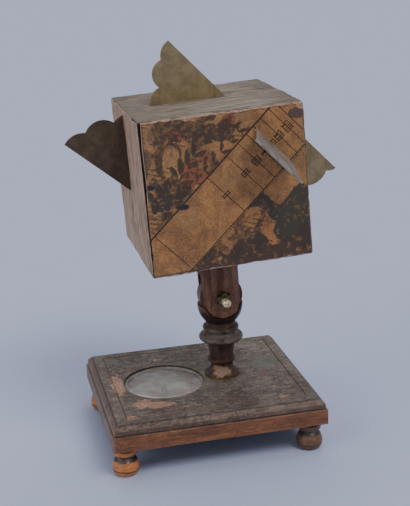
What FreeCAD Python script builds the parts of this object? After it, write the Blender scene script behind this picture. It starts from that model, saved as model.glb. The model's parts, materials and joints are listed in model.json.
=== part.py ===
import FreeCAD, Part
import math
import os
import re
import Sketcher

# Polyhedral sundial: a wooden block that carries five dials and their brass gnomons, on a knuckle joint,
# a turned pillar and a moulded base with a small compass under glass. Millimetres and degrees.
# The ground plane is Z = 0 and the origin lies under the middle of the whole object's outline.
# +X is the south side of the block, +Y the east side, and -Y the west dial, which faces the viewer.

SIZES = (
    ("base_x", -6.2, "middle of the base, from the origin"),
    ("base_length", 103.0, "plinth from north to south"),
    ("base_width", 90.5, "plinth from west to east"),
    ("plinth_underside", 14.8, "height of the plinth's underside"),
    ("plinth_side", 7.4, "height of the plain upright side"),
    ("quirk_height", 0.5, "narrow groove above the side"),
    ("quirk_inset", 1.7, "groove floor, in from the side"),
    ("ledge", 0.9, "moulding, in from the side"),
    ("moulding_height", 4.7, "moulding above the groove"),
    ("moulding_bevel", 2.6, "bevel of the moulding's upper edge"),
    ("score_inset", 8.0, "scored line, in from the side"),
    ("score_width", 0.5, "scored line"),
    ("score_depth", 0.4, "scored line"),
    ("foot_inset_x", 6.7, "foot axis, in from the plinth's end"),
    ("foot_inset_y", 8.6, "foot axis, in from the plinth's long side"),
    ("ball_radius", 6.35, "ball of the foot"),
    ("ball_height", 3.6, "ball centre above the ground"),
    ("foot_flat_radius", 4.6, "flat under the foot"),
    ("foot_neck_radius", 4.3, "hollow between ball and collar"),
    ("foot_neck_height", 8.9, "lower end of that hollow above the ground"),
    ("collar_height", 10.5, "underside of the collar above the ground"),
    ("collar_thickness", 2.1, "collar"),
    ("collar_radius", 5.6, "collar"),
    ("foot_shank_radius", 4.6, "foot above its collar"),
    ("foot_tenon_radius", 3.0, "tenon in the plinth"),
    ("foot_tenon_length", 5.0, "tenon in the plinth"),
    ("glue_gap", 0.05, "radial room for glue round a tenon"),
    ("compass_x", -18.4, "compass centre, from the base's middle"),
    ("compass_y", -0.7, "compass centre, from the base's middle"),
    ("glass_radius", 19.8, "compass glass"),
    ("glass_thickness", 2.2, "compass glass"),
    ("glass_bevel_width", 1.6, "ground bevel"),
    ("glass_bevel_height", 0.8, "ground bevel"),
    ("glass_gap", 0.15, "room round the glass"),
    ("glass_sink", 0.2, "glass below the panel"),
    ("glass_ledge", 1.8, "width of the rebate under the glass"),
    ("well_depth", 7.8, "compass well below the panel"),
    ("card_thickness", 0.4, "compass card"),
    ("card_gap", 0.1, "room round the card"),
    ("pivot_foot_radius", 2.2, "brass foot of the needle's pin"),
    ("pivot_foot_height", 0.6, "brass foot of the needle's pin"),
    ("pivot_radius", 0.45, "needle's pin"),
    ("pivot_height", 3.3, "pin's point above the card"),
    ("pivot_point_length", 0.9, "cone of the point"),
    ("needle_length", 27.6, "compass needle"),
    ("needle_width", 3.0, "compass needle at its middle"),
    ("needle_thickness", 0.35, "compass needle"),
    ("needle_angle", -10.5, "needle at rest, turned from +Y"),
    ("cap_radius", 1.9, "flange of the needle's cap"),
    ("cap_flange", 0.4, "flange of the needle's cap"),
    ("cap_neck_radius", 1.1, "cap where it holds the needle"),
    ("cap_height", 2.0, "cap from flange to top"),
    ("cap_wall", 0.5, "cap above the point"),
    ("cap_bore_radius", 0.75, "hollow of the cap at its mouth"),
    ("point_gap", 0.04, "cap above the pin's point"),
    ("pillar_x", 11.4, "pillar axis, from the base's middle"),
    ("pillar_tenon_radius", 4.5, "pillar tenon"),
    ("pillar_tenon_length", 8.0, "pillar tenon"),
    ("disc_radius", 8.5, "disc at the foot of the pillar"),
    ("disc_height", 1.4, "disc at the foot of the pillar"),
    ("flare_radius", 7.6, "start of the flare above the disc"),
    ("flare_top_radius", 5.6, "end of the flare"),
    ("flare_top_height", 6.8, "end of the flare"),
    ("flare_round", 6.0, "hollow of the flare"),
    ("groove_radius", 5.0, "groove above the flare"),
    ("ring_height", 8.0, "ring above the groove"),
    ("ring_radius", 6.8, "ring above the groove"),
    ("ring_thickness", 1.2, "ring above the groove"),
    ("shaft_low_radius", 5.6, "tapered shaft at the ring"),
    ("shaft_high_radius", 6.9, "tapered shaft at the torus"),
    ("torus_low", 19.0, "underside of the torus"),
    ("torus_high", 21.8, "top of the torus"),
    ("torus_root_radius", 9.5, "torus where it springs"),
    ("torus_radius", 10.9, "torus at its widest"),
    ("torus_cove", 2.6, "hollow between torus and bead"),
    ("bead_height", 25.3, "middle of the bead"),
    ("bead_half", 1.3, "half of the bead's height"),
    ("bead_radius", 8.9, "bead"),
    ("neck_radius", 7.4, "neck between bead and cup"),
    ("neck_height", 29.0, "top of the neck"),
    ("cup_radius", 11.1, "cup that holds the knuckle"),
    ("cup_height", 37.8, "rim of the cup"),
    ("cup_curve", 11.5, "round of the cup's side"),
    ("bolt_height", 42.2, "knuckle bolt above the panel"),
    ("tongue_thickness", 7.0, "tongue of the knuckle"),
    ("tongue_radius", 10.6, "tongue round the bolt"),
    ("tongue_gap", 0.1, "room each side of the tongue"),
    ("fork_radius", 10.0, "turned fork"),
    ("fork_flat", 7.6, "flat cheek, from the middle of the fork"),
    ("fork_seat_gap", 0.15, "room between cheeks and cup"),
    ("fork_root", 12.5, "bottom of the fork's slot above the bolt"),
    ("fork_shoulder", 25.4, "fork's shoulder above the bolt"),
    ("fork_tenon_radius", 6.0, "fork's tenon in the block"),
    ("fork_tenon_length", 5.5, "fork's tenon in the block"),
    ("bolt_radius", 2.0, "knuckle bolt"),
    ("bolt_gap", 0.05, "radial running room on the bolt"),
    ("bolt_square", 4.2, "square neck in the rear cheek"),
    ("square_gap", 0.05, "room each side of the square neck"),
    ("bolt_head_radius", 4.0, "domed head behind the rear cheek"),
    ("bolt_head_height", 2.0, "domed head behind the rear cheek"),
    ("bolt_dome", 1.1, "rounded front end of the bolt"),
    ("bolt_reach", 8.6, "bolt beyond the front cheek"),
    ("bolt_slot_width", 0.6, "slot in the bolt's end"),
    ("bolt_slot_depth", 0.9, "slot in the bolt's end"),
    ("washer_radius", 3.7, "washer"),
    ("washer_thickness", 0.6, "washer"),
    ("washer_bore", 2.3, "washer"),
    ("nut_gap", 0.05, "nut clear of its washer"),
    ("nut_thickness", 3.2, "lobed nut"),
    ("nut_hub_radius", 3.0, "lobed nut between its lobes"),
    ("nut_lobes", 6, "lobes round the nut"),
    ("lobe_radius", 1.15, "lobe"),
    ("lobe_circle", 2.85, "lobe centres"),
    ("nut_collar_radius", 2.6, "collar on the nut's face"),
    ("nut_collar_height", 0.8, "collar on the nut's face"),
    ("block_length", 75.0, "block from north to south"),
    ("block_width", 71.8, "block from west to east"),
    ("block_height", 71.1, "block"),
    ("board_thickness", 7.0, "boards of the block"),
    ("open_joint", 0.8, "open mitre at the north edge of the west board"),
    ("paper_thickness", 0.2, "pasted dial"),
    ("paper_margin", 0.35, "paper in from the block's edges"),
    ("head_tilt", -3.3, "block at rest, leaning north"),
    ("latitude_angle", 48.5, "hour lines of the upright dials"),
    ("sheet_thickness", 0.9, "brass sheet"),
    ("slot_gap", 0.05, "room each side of a tab in its slot"),
    ("shoulder_gap", 0.15, "gnomon shoulder above its face"),
    ("tab_depth", 4.0, "tab in the board"),
    ("tab_inset", 7.0, "tab, in from the gnomon's ends"),
    ("top_root_x", 11.1, "top gnomon's root, from the block's axis"),
    ("top_base", 35.5, "top gnomon's foot"),
    ("top_tip_along", 24.1, "top gnomon's tip"),
    ("top_tip_out", 28.3, "top gnomon's tip"),
    ("top_waist_along", 28.4, "top gnomon's waist"),
    ("top_waist_out", 20.0, "top gnomon's waist"),
    ("top_notch_along", 30.4, "top gnomon's notch"),
    ("top_notch_out", 7.6, "top gnomon's notch"),
    ("top_tip_round", 8.0, "arc from tip to waist"),
    ("top_lobe_round", 7.1, "arc from waist to notch"),
    ("top_heel_round", 7.3, "arc from notch to heel"),
    ("north_root_z", -2.9, "north gnomon's root, from the block's middle"),
    ("north_base", 35.8, "north gnomon's foot"),
    ("north_tip_along", 25.8, "north gnomon's tip"),
    ("north_tip_out", 28.0, "north gnomon's tip"),
    ("north_waist_along", 29.9, "north gnomon's waist"),
    ("north_waist_out", 17.9, "north gnomon's waist"),
    ("north_notch_along", 32.9, "north gnomon's notch"),
    ("north_notch_out", 4.5, "north gnomon's notch"),
    ("north_tip_round", 9.9, "arc from tip to waist"),
    ("north_lobe_round", 8.9, "arc from waist to notch"),
    ("north_heel_round", 12.0, "arc from notch to heel"),
    ("south_root_z", 22.3, "south gnomon's root, from the block's middle"),
    ("south_base", 36.0, "south gnomon's foot"),
    ("south_tip_along", 28.7, "south gnomon's tip"),
    ("south_tip_out", 25.3, "south gnomon's tip"),
    ("south_waist_along", 29.3, "south gnomon's waist"),
    ("south_waist_out", 20.5, "south gnomon's waist"),
    ("south_notch_along", 33.0, "south gnomon's notch"),
    ("south_notch_out", 4.5, "south gnomon's notch"),
    ("south_tip_round", 5.2, "arc from tip to waist"),
    ("south_lobe_round", 10.2, "arc from waist to notch"),
    ("south_heel_round", 12.0, "arc from notch to heel"),
    ("six_line", 28.3, "six o'clock line, from the block's middle across the hour lines"),
    ("plate_start", -16.0, "side plate's lower end along its hour line"),
    ("plate_base", 25.5, "side plate's foot"),
    ("plate_height", 17.4, "side plate's style above the face"),
    ("plate_low", -1.2, "lower end of the style"),
    ("plate_high", 28.0, "upper end of the style"),
    ("plate_low_round", 18.0, "hollow arc at the lower end"),
    ("plate_high_round", 40.0, "hollow arc at the upper end"),
    ("lean_angle", 14.0, "side plate bent over from upright"),
)

doc = FreeCAD.newDocument("polyhedral_sundial")
sheet = doc.addObject("Spreadsheet::Sheet", "Sizes")
for row, (alias, value, note) in enumerate(SIZES, start=1):
    sheet.set(f"A{row}", note)
    sheet.set(f"B{row}", str(value))
    sheet.setAlias(f"B{row}", alias)
doc.recompute()

NAMES = {alias for alias, value, note in SIZES}
reader = doc.addObject("App::FeaturePython", "Reader")
reader.addProperty("App::PropertyFloat", "Value")
pieces = []


def ref(formula):
    """The formula with every size's name pointing at the sheet."""
    return re.sub(r"[a-z_]+", lambda m: f"Sizes.{m[0]}" if m[0] in NAMES else m[0], formula)


def number(formula):
    """The formula's value, worked out by the document."""
    reader.setExpression("Value", ref(formula))
    reader.recompute()
    return reader.Value


def bind(thing, **formulas):
    for name, formula in formulas.items():
        thing.setExpression(name, ref(formula))


def keep(thing, label, placement=None):
    """Names a finished piece and puts it in its place."""
    thing.Label = label
    if placement is not None:
        thing.Placement = placement
    pieces.append(thing)
    return thing


def round_radius(depth, reach):
    """Radius of the arc that leaves its widest point along the axis and draws in by depth over reach."""
    return f"({depth} ^ 2 + {reach} ^ 2) / (2 * {depth})"


# Places

def turned(axis, degrees):
    return FreeCAD.Rotation(FreeCAD.Vector(*axis), degrees)


def place(x="0", y="0", z="0", rotation=None):
    base = FreeCAD.Vector(number(x), number(y), number(z))
    return FreeCAD.Placement(base, rotation or FreeCAD.Rotation())


PANEL_TOP = "plinth_underside + plinth_side + quirk_height + moulding_height"
BLOCK_MIDDLE = "fork_shoulder + block_height / 2"
# The head's own frame has its origin on the bolt's axis and leans with the block.
HEAD = place("base_x + pillar_x", "0", f"{PANEL_TOP} + bolt_height", turned((0, 1, 0), number("head_tilt")))
BLOCK = HEAD.multiply(place(z=BLOCK_MIDDLE))
# In the bolt's own frame +Z runs along the bolt towards the viewer.
BOLT = HEAD.multiply(place(rotation=turned((1, 0, 0), 90)))


# Sketches and features

def make_body(name):
    return doc.addObject("PartDesign::Body", name + "_body")


def sketch_on(body, role, offset=None):
    sketch = body.newObject("Sketcher::SketchObject", body.Name + "_sketch")
    plane = next(f for f in body.Origin.OriginFeatures if f.Role == role)
    sketch.AttachmentSupport = [(plane, "")]
    sketch.MapMode = "FlatFace"
    if offset:
        sketch.setExpression(".AttachmentOffset.Base.z", ref(offset))
    return sketch


def fix_coordinate(sketch, geometry, end, kind, formula):
    """Ties one coordinate of a point to a formula."""
    if formula == "0":
        axis = -2 if kind == "DistanceX" else -1
        sketch.addConstraint(Sketcher.Constraint("PointOnObject", geometry, end, axis))
        return
    index = sketch.addConstraint(Sketcher.Constraint(kind, -1, 1, geometry, end, number(formula)))
    sketch.setExpression(f"Constraints[{index}]", ref(formula))


def arc_middle(start, end, radius, side):
    """The middle of the shorter arc between two points, bulging to the left (1) or right (-1)."""
    chord = end - start
    half = chord.Length / 2
    rise = radius - math.sqrt(max(radius * radius - half * half, 0.0))
    normal = FreeCAD.Vector(-chord.y, chord.x, 0).normalize()
    return (start + end) / 2 + normal * (rise * side)


def outline(sketch, steps):
    """A closed outline. A step is (x, y) for a line to that point, or (x, y, radius, side) for an arc."""
    points = [FreeCAD.Vector(number(step[0]), number(step[1]), 0) for step in steps]
    ends = []
    for k, step in enumerate(steps):
        start, end = points[k - 1], points[k]
        if len(step) == 2:
            index = sketch.addGeometry(Part.LineSegment(start, end))
            ends.append((index, 1, 2))
            continue
        # The sketcher keeps every arc counter-clockwise.
        if step[3] < 0:
            first, last, joins = start, end, (1, 2)
        else:
            first, last, joins = end, start, (2, 1)
        middle = arc_middle(start, end, number(step[2]), step[3])
        index = sketch.addGeometry(Part.Arc(first, middle, last))
        ends.append((index, *joins))
        radius = sketch.addConstraint(Sketcher.Constraint("Radius", index, number(step[2])))
        sketch.setExpression(f"Constraints[{radius}]", ref(step[2]))
    for k, step in enumerate(steps):
        index, first, last = ends[k]
        following = ends[(k + 1) % len(ends)]
        sketch.addConstraint(Sketcher.Constraint("Coincident", index, last, following[0], following[1]))
        fix_coordinate(sketch, index, last, "DistanceX", step[0])
        fix_coordinate(sketch, index, last, "DistanceY", step[1])


def rectangle(sketch, length, width, x="0", y="0"):
    low_x, high_x = f"{x} - ({length}) / 2", f"{x} + ({length}) / 2"
    low_y, high_y = f"{y} - ({width}) / 2", f"{y} + ({width}) / 2"
    outline(sketch, [(low_x, low_y), (high_x, low_y), (high_x, high_y), (low_x, high_y)])


def circle(sketch, radius, x="0", y="0"):
    centre = FreeCAD.Vector(number(x), number(y), 0)
    index = sketch.addGeometry(Part.Circle(centre, FreeCAD.Vector(0, 0, 1), number(radius)))
    size = sketch.addConstraint(Sketcher.Constraint("Radius", index, number(radius)))
    sketch.setExpression(f"Constraints[{size}]", ref(radius))
    fix_coordinate(sketch, index, 3, "DistanceX", x)
    fix_coordinate(sketch, index, 3, "DistanceY", y)


def pad(body, sketch, length, both_sides=False):
    feature = body.newObject("PartDesign::Pad", body.Name + "_pad")
    feature.Profile = sketch
    feature.Midplane = both_sides
    bind(feature, Length=length)
    doc.recompute()
    return feature


def pocket(body, sketch, length, up=False, both_sides=False):
    before = body.Shape.Volume
    feature = body.newObject("PartDesign::Pocket", body.Name + "_pocket")
    feature.Profile = sketch
    feature.Reversed = up
    feature.Midplane = both_sides
    bind(feature, Length=length)
    doc.recompute()
    if body.Shape.Volume > before - 1e-6:
        raise RuntimeError(f"{feature.Name} cuts nothing")
    return feature


def turned_piece(name, steps, placement):
    """A body of revolution round its own Z. The steps give radius and height."""
    body = make_body(name)
    sketch = sketch_on(body, "XZ_Plane")
    outline(sketch, steps)
    feature = body.newObject("PartDesign::Revolution", name + "_turning")
    feature.Profile = sketch
    feature.ReferenceAxis = (sketch, ["V_Axis"])
    feature.Angle = 360
    doc.recompute()
    return keep(body, name, placement)


def box(name, length, width, height, x="0", y="0", z="0"):
    """A box centred on x and y, standing on z."""
    piece = doc.addObject("Part::Box", name)
    bind(piece, Length=length, Width=width, Height=height)
    piece.setExpression(".Placement.Base.x", ref(f"{x} - ({length}) / 2"))
    piece.setExpression(".Placement.Base.y", ref(f"{y} - ({width}) / 2"))
    piece.setExpression(".Placement.Base.z", ref(z))
    return piece


def rod(name, radius, height, x="0", y="0", z="0"):
    """A cylinder along Z, standing on z."""
    piece = doc.addObject("Part::Cylinder", name)
    bind(piece, Radius=radius, Height=height)
    piece.setExpression(".Placement.Base.x", ref(x))
    piece.setExpression(".Placement.Base.y", ref(y))
    piece.setExpression(".Placement.Base.z", ref(z))
    return piece


def cut(name, solid, tools):
    tool = tools[0]
    if len(tools) > 1:
        tool = fuse(name + "_tools", tools)
    piece = doc.addObject("Part::Cut", name)
    piece.Base = solid
    piece.Tool = tool
    return piece


def fuse(name, solids):
    piece = doc.addObject("Part::MultiFuse", name)
    piece.Shapes = solids
    piece.Refine = True
    return piece


# Plinth

def make_plinth():
    body = make_body("base_plinth")
    layers = (
        ("0", "0", "plinth_side"),
        ("plinth_side", "quirk_inset", "quirk_height"),
        ("plinth_side + quirk_height", "ledge", "moulding_height"),
    )
    for start, inset, height in layers:
        sketch = sketch_on(body, "XY_Plane", start)
        rectangle(sketch, f"base_length - 2 * {inset}", f"base_width - 2 * {inset}")
        feature = pad(body, sketch, height)
    top = number("plinth_side + quirk_height + moulding_height")
    edges = [
        f"Edge{k}"
        for k, edge in enumerate(feature.Shape.Edges, start=1)
        if min(v.Z for v in edge.Vertexes) > top - 1e-6
    ]
    bevel = body.newObject("PartDesign::Chamfer", "moulding_bevel")
    bevel.Base = (feature, edges)
    bind(bevel, Size="moulding_bevel")
    doc.recompute()
    surface = f"{PANEL_TOP} - plinth_underside"
    hollows = (
        ("glass_radius + glass_gap", "compass_x", "compass_y", "glass_sink + glass_thickness"),
        ("glass_radius - glass_ledge", "compass_x", "compass_y", "well_depth"),
        ("pillar_tenon_radius + glue_gap", "pillar_x", "0", "pillar_tenon_length + glue_gap"),
    )
    for radius, x, y, depth in hollows:
        sketch = sketch_on(body, "XY_Plane", surface)
        circle(sketch, radius, x, y)
        pocket(body, sketch, depth)
    sketch = sketch_on(body, "XY_Plane", surface)
    rectangle(sketch, "base_length - 2 * score_inset", "base_width - 2 * score_inset")
    inner = "score_inset + score_width"
    rectangle(sketch, f"base_length - 2 * ({inner})", f"base_width - 2 * ({inner})")
    pocket(body, sketch, "score_depth")
    sketch = sketch_on(body, "XY_Plane")
    for x, y in FOOT_PLACES:
        circle(sketch, "foot_tenon_radius + glue_gap", x, y)
    pocket(body, sketch, "foot_tenon_length + glue_gap", up=True)
    return keep(body, "base_plinth", place("base_x", "0", "plinth_underside"))


FOOT_X = "(base_length / 2 - foot_inset_x)"
FOOT_Y = "(base_width / 2 - foot_inset_y)"
FOOT_PLACES = [(f"{sx} * {FOOT_X}", f"{sy} * {FOOT_Y}") for sy in (-1, 1) for sx in (-1, 1)]
FOOT_NAMES = ("foot_front_left", "foot_front_right", "foot_back_left", "foot_back_right")


def make_foot(name, x, y):
    low_round = round_radius("(ball_radius - foot_flat_radius)", "ball_height")
    high_round = round_radius("(ball_radius - foot_neck_radius)", "(foot_neck_height - ball_height)")
    collar_top = "collar_height + collar_thickness"
    steps = [
        ("0", "0"),
        ("foot_flat_radius", "0"),
        ("ball_radius", "ball_height", low_round, -1),
        ("foot_neck_radius", "foot_neck_height", high_round, -1),
        ("foot_neck_radius", "collar_height"),
        ("collar_radius", "collar_height"),
        ("collar_radius", collar_top),
        ("foot_shank_radius", collar_top),
        ("foot_shank_radius", "plinth_underside"),
        ("foot_tenon_radius", "plinth_underside"),
        ("foot_tenon_radius", "plinth_underside + foot_tenon_length"),
        ("0", "plinth_underside + foot_tenon_length"),
    ]
    return turned_piece(name, steps, place(f"base_x + {x}", y))


# Compass

COMPASS_X = "base_x + compass_x"
WELL_FLOOR = f"{PANEL_TOP} - well_depth"
CARD_TOP = f"{WELL_FLOOR} + card_thickness"
POINT = f"{CARD_TOP} + pivot_height"
CAP_BASE = f"{POINT} + point_gap + cap_wall - cap_height"


def make_compass():
    radius = "glass_radius - glass_ledge - card_gap"
    card = [("0", "0"), (radius, "0"), (radius, "card_thickness"), ("0", "card_thickness")]
    turned_piece("compass_card", card, place(COMPASS_X, "compass_y", WELL_FLOOR))

    pin = [
        ("0", "0"),
        ("pivot_foot_radius", "0"),
        ("pivot_foot_radius", "pivot_foot_height / 2"),
        ("pivot_radius", "pivot_foot_height"),
        ("pivot_radius", "pivot_height - pivot_point_length"),
        ("0", "pivot_height"),
    ]
    turned_piece("compass_pivot", pin, place(COMPASS_X, "compass_y", CARD_TOP))

    turn = turned((0, 0, 1), number("needle_angle"))
    body = make_body("compass_needle")
    sketch = sketch_on(body, "XY_Plane")
    half, side = "needle_length / 2", "needle_width / 2"
    outline(sketch, [("0", f"-{half}"), (side, "0"), ("0", half), (f"-{side}", "0")])
    circle(sketch, "cap_neck_radius")
    pad(body, sketch, "needle_thickness")
    keep(body, "compass_needle", place(COMPASS_X, "compass_y", f"{CAP_BASE} + cap_flange", turn))

    cap = [
        ("cap_bore_radius", "0"),
        ("cap_radius", "0"),
        ("cap_radius", "cap_flange"),
        ("cap_neck_radius", "cap_flange"),
        ("cap_neck_radius", "cap_flange + needle_thickness"),
        ("cap_bore_radius", "cap_height"),
        ("0", "cap_height"),
        ("0", "cap_height - cap_wall"),
    ]
    turned_piece("needle_cap", cap, place(COMPASS_X, "compass_y", CAP_BASE, turn))

    glass = [
        ("0", "0"),
        ("glass_radius", "0"),
        ("glass_radius", "glass_thickness - glass_bevel_height"),
        ("glass_radius - glass_bevel_width", "glass_thickness"),
        ("0", "glass_thickness"),
    ]
    level = f"{PANEL_TOP} - glass_sink - glass_thickness"
    turned_piece("compass_glass", glass, place(COMPASS_X, "compass_y", level))


# Pillar with the tongue of the knuckle

def make_pillar():
    torus_middle = "(torus_low + torus_high) / 2"
    torus_round = round_radius("(torus_radius - torus_root_radius)", "((torus_high - torus_low) / 2)")
    bead_round = round_radius("(bead_radius - neck_radius)", "bead_half")
    steps = [
        ("0", "-pillar_tenon_length"),
        ("pillar_tenon_radius", "-pillar_tenon_length"),
        ("pillar_tenon_radius", "0"),
        ("disc_radius", "0"),
        ("disc_radius", "disc_height"),
        ("flare_radius", "disc_height"),
        ("flare_top_radius", "flare_top_height", "flare_round", 1),
        ("groove_radius", "flare_top_height"),
        ("groove_radius", "ring_height"),
        ("ring_radius", "ring_height"),
        ("ring_radius", "ring_height + ring_thickness"),
        ("shaft_low_radius", "ring_height + ring_thickness"),
        ("shaft_high_radius", "torus_low"),
        ("torus_root_radius", "torus_low"),
        ("torus_radius", torus_middle, torus_round, -1),
        ("torus_root_radius", "torus_high", torus_round, -1),
        ("neck_radius", "bead_height - bead_half", "torus_cove", 1),
        ("bead_radius", "bead_height", bead_round, -1),
        ("neck_radius", "bead_height + bead_half", bead_round, -1),
        ("neck_radius", "neck_height"),
        ("cup_radius", "cup_height", "cup_curve", -1),
        ("0", "cup_height"),
    ]
    body = turned_piece("pillar", steps, place("base_x + pillar_x", "0", PANEL_TOP))
    sketch = sketch_on(body, "XZ_Plane")
    circle(sketch, "tongue_radius", "0", "bolt_height")
    pad(body, sketch, "tongue_thickness", both_sides=True)
    for offset, away in (("tongue_thickness / 2", True), ("-tongue_thickness / 2", False)):
        sketch = sketch_on(body, "XZ_Plane", offset)
        circle(sketch, "fork_radius + fork_seat_gap", "0", "bolt_height")
        pocket(body, sketch, "cup_radius", up=away)
    sketch = sketch_on(body, "XZ_Plane")
    circle(sketch, "bolt_radius + bolt_gap", "0", "bolt_height")
    pocket(body, sketch, "2 * cup_radius", both_sides=True)


# Fork of the knuckle

def make_fork():
    turning = rod("fork_turning", "fork_radius", "fork_radius + fork_shoulder", z="-fork_radius")
    cheeks = box("fork_cheeks", "2 * fork_radius", "2 * fork_flat", "fork_shoulder")
    ends = rod("fork_ends", "fork_radius", "2 * fork_flat", y="fork_flat")
    slot = box(
        "fork_slot",
        "4 * fork_radius",
        "tongue_thickness + 2 * tongue_gap",
        "2 * fork_radius + fork_root",
        z="-2 * fork_radius",
    )
    bore = rod("fork_bore", "bolt_radius + bolt_gap", "2 * fork_radius")
    square = "(bolt_square + 2 * square_gap)"
    # Laid on its side, the socket's box reaches back from its base, and its second side stands upright.
    behind = f"2 * fork_radius + {square} / 2"
    socket = box("fork_socket", square, square, "2 * fork_radius", y=behind, z=f"-{square} / 2")
    for lying in (ends, bore, socket):
        lying.Placement.Rotation = turned((1, 0, 0), 90)
    blank = doc.addObject("Part::MultiCommon", "fork_blank")
    blank.Shapes = [turning, fuse("fork_sides", [cheeks, ends])]
    tenon = rod("fork_tenon", "fork_tenon_radius", "fork_tenon_length", z="fork_shoulder")
    solid = fuse("fork_with_tenon", [blank, tenon])
    return keep(cut("fork_piece", solid, [slot, bore, socket]), "knuckle_fork", HEAD)


# Bolt, washers and nut

FRONT = "fork_flat"
NUT_START = "fork_flat + washer_thickness + nut_gap"


def make_bolt():
    tip = "fork_flat + bolt_reach"
    head = "-fork_flat - washer_thickness"
    dome = "(bolt_radius ^ 2 + bolt_dome ^ 2) / (2 * bolt_dome)"
    top = "(bolt_head_radius ^ 2 + bolt_head_height ^ 2) / (2 * bolt_head_height)"
    steps = [
        ("0", f"{head} - bolt_head_height"),
        ("bolt_head_radius", head, top, -1),
        ("bolt_radius", head),
        ("bolt_radius", f"{tip} - bolt_dome"),
        ("0", tip, dome, -1),
    ]
    body = turned_piece("knuckle_bolt", steps, BOLT)
    sketch = sketch_on(body, "XY_Plane", head)
    rectangle(sketch, "bolt_square", "bolt_square")
    pad(body, sketch, "fork_flat + washer_thickness - tongue_thickness / 2 - tongue_gap")
    sketch = sketch_on(body, "XY_Plane", tip)
    rectangle(sketch, "4 * bolt_radius", "bolt_slot_width")
    pocket(body, sketch, "bolt_slot_depth")


def make_washer(name, start, bore):
    ring = rod(name + "_ring", "washer_radius", "washer_thickness", z=start)
    keep(cut(name + "_piece", ring, [bore]), name, BOLT)


def make_washers():
    start = "fork_flat - washer_thickness / 2"
    hole = rod("front_washer_hole", "washer_bore", "2 * washer_thickness", z=start)
    make_washer("front_washer", FRONT, hole)
    side = "bolt_square + 2 * square_gap"
    start = "-fork_flat - 1.5 * washer_thickness"
    square = box("rear_washer_hole", side, side, "2 * washer_thickness", z=start)
    make_washer("rear_washer", "-fork_flat - washer_thickness", square)


def make_nut():
    body = make_body("thumb_nut")
    sketch = sketch_on(body, "XY_Plane", NUT_START)
    circle(sketch, "nut_hub_radius")
    pad(body, sketch, "nut_thickness")
    sketch = sketch_on(body, "XY_Plane", NUT_START)
    circle(sketch, "lobe_radius", "0", "lobe_circle")
    lobe = pad(body, sketch, "nut_thickness")
    pattern = body.newObject("PartDesign::PolarPattern", "nut_lobes_round")
    pattern.Originals = [lobe]
    pattern.Axis = (sketch, ["N_Axis"])
    pattern.Angle = 360
    bind(pattern, Occurrences="nut_lobes")
    body.Tip = pattern
    doc.recompute()
    sketch = sketch_on(body, "XY_Plane", f"{NUT_START} + nut_thickness")
    circle(sketch, "nut_collar_radius")
    pad(body, sketch, "nut_collar_height")
    sketch = sketch_on(body, "XY_Plane", f"{NUT_START} + nut_thickness + nut_collar_height")
    circle(sketch, "bolt_radius + bolt_gap")
    pocket(body, sketch, "2 * (nut_thickness + nut_collar_height)")
    keep(body, "thumb_nut", BOLT)


# Gnomons

def faced(x_axis, z_axis):
    """The rotation that sends X and Z to the two given directions."""
    return FreeCAD.Rotation(x_axis, z_axis.cross(x_axis), z_axis, "XYZ")


def on_face(x, z, along, out):
    """A gnomon's frame: X runs along its foot and Z stands out of the face."""
    return place(x, "0", z, faced(FreeCAD.Vector(*along), FreeCAD.Vector(*out)))


def plate_frame(side):
    """Frame of a plate on the six o'clock line of the west (-1) or east (1) dial, bent over by its lean."""
    tilt = math.radians(number("latitude_angle"))
    lean = math.radians(number("lean_angle"))
    hour = FreeCAD.Vector(-math.cos(tilt), 0, math.sin(tilt))
    across = FreeCAD.Vector(math.sin(tilt), 0, math.cos(tilt))
    face = FreeCAD.Vector(0, side, 0)
    out = face * math.cos(lean) - across * math.sin(lean)
    foot = across * number("six_line") + hour * number("plate_start")
    foot = foot + face * number("block_width / 2 + paper_thickness")
    return FreeCAD.Placement(foot, faced(hour, out))


def tab_steps(length):
    """The foot of a gnomon from its far end back to its root, with the tab that enters the board."""
    return [
        (f"{length} - tab_inset", "shoulder_gap"),
        (f"{length} - tab_inset", "-tab_depth"),
        ("tab_inset", "-tab_depth"),
        ("tab_inset", "shoulder_gap"),
        ("0", "shoulder_gap"),
    ]


def style_steps(name):
    """A three-cornered gnomon: straight style, then tip, waist, lobe, notch and heel."""
    return [
        (f"{name}_tip_along", f"{name}_tip_out"),
        (f"{name}_waist_along", f"{name}_waist_out", f"{name}_tip_round", 1),
        (f"{name}_notch_along", f"{name}_notch_out", f"{name}_lobe_round", 1),
        (f"{name}_base", "shoulder_gap", f"{name}_heel_round", 1),
    ]


PLATE_STEPS = [
    ("plate_low", "plate_height", "plate_low_round", -1),
    ("plate_high", "plate_height"),
    ("plate_base", "shoulder_gap", "plate_high_round", -1),
]


def make_gnomon(name, steps, length, frame):
    body = make_body(name)
    sketch = sketch_on(body, "XZ_Plane")
    outline(sketch, steps + tab_steps(length))
    pad(body, sketch, "sheet_thickness", both_sides=True)
    return keep(body, name, BLOCK.multiply(frame))


def slot_tool(name, length, frame):
    """The slot that a gnomon's tab enters, through the paper and into the board."""
    tool = doc.addObject("Part::Box", name)
    bind(tool, Length=f"{length} - 2 * tab_inset + 2 * slot_gap")
    bind(tool, Width="sheet_thickness + 2 * slot_gap", Height="2 * (tab_depth + slot_gap)")
    corner = place("tab_inset - slot_gap", "-sheet_thickness / 2 - slot_gap", "-tab_depth - slot_gap")
    tool.Placement = frame.multiply(corner)
    return tool


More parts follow.
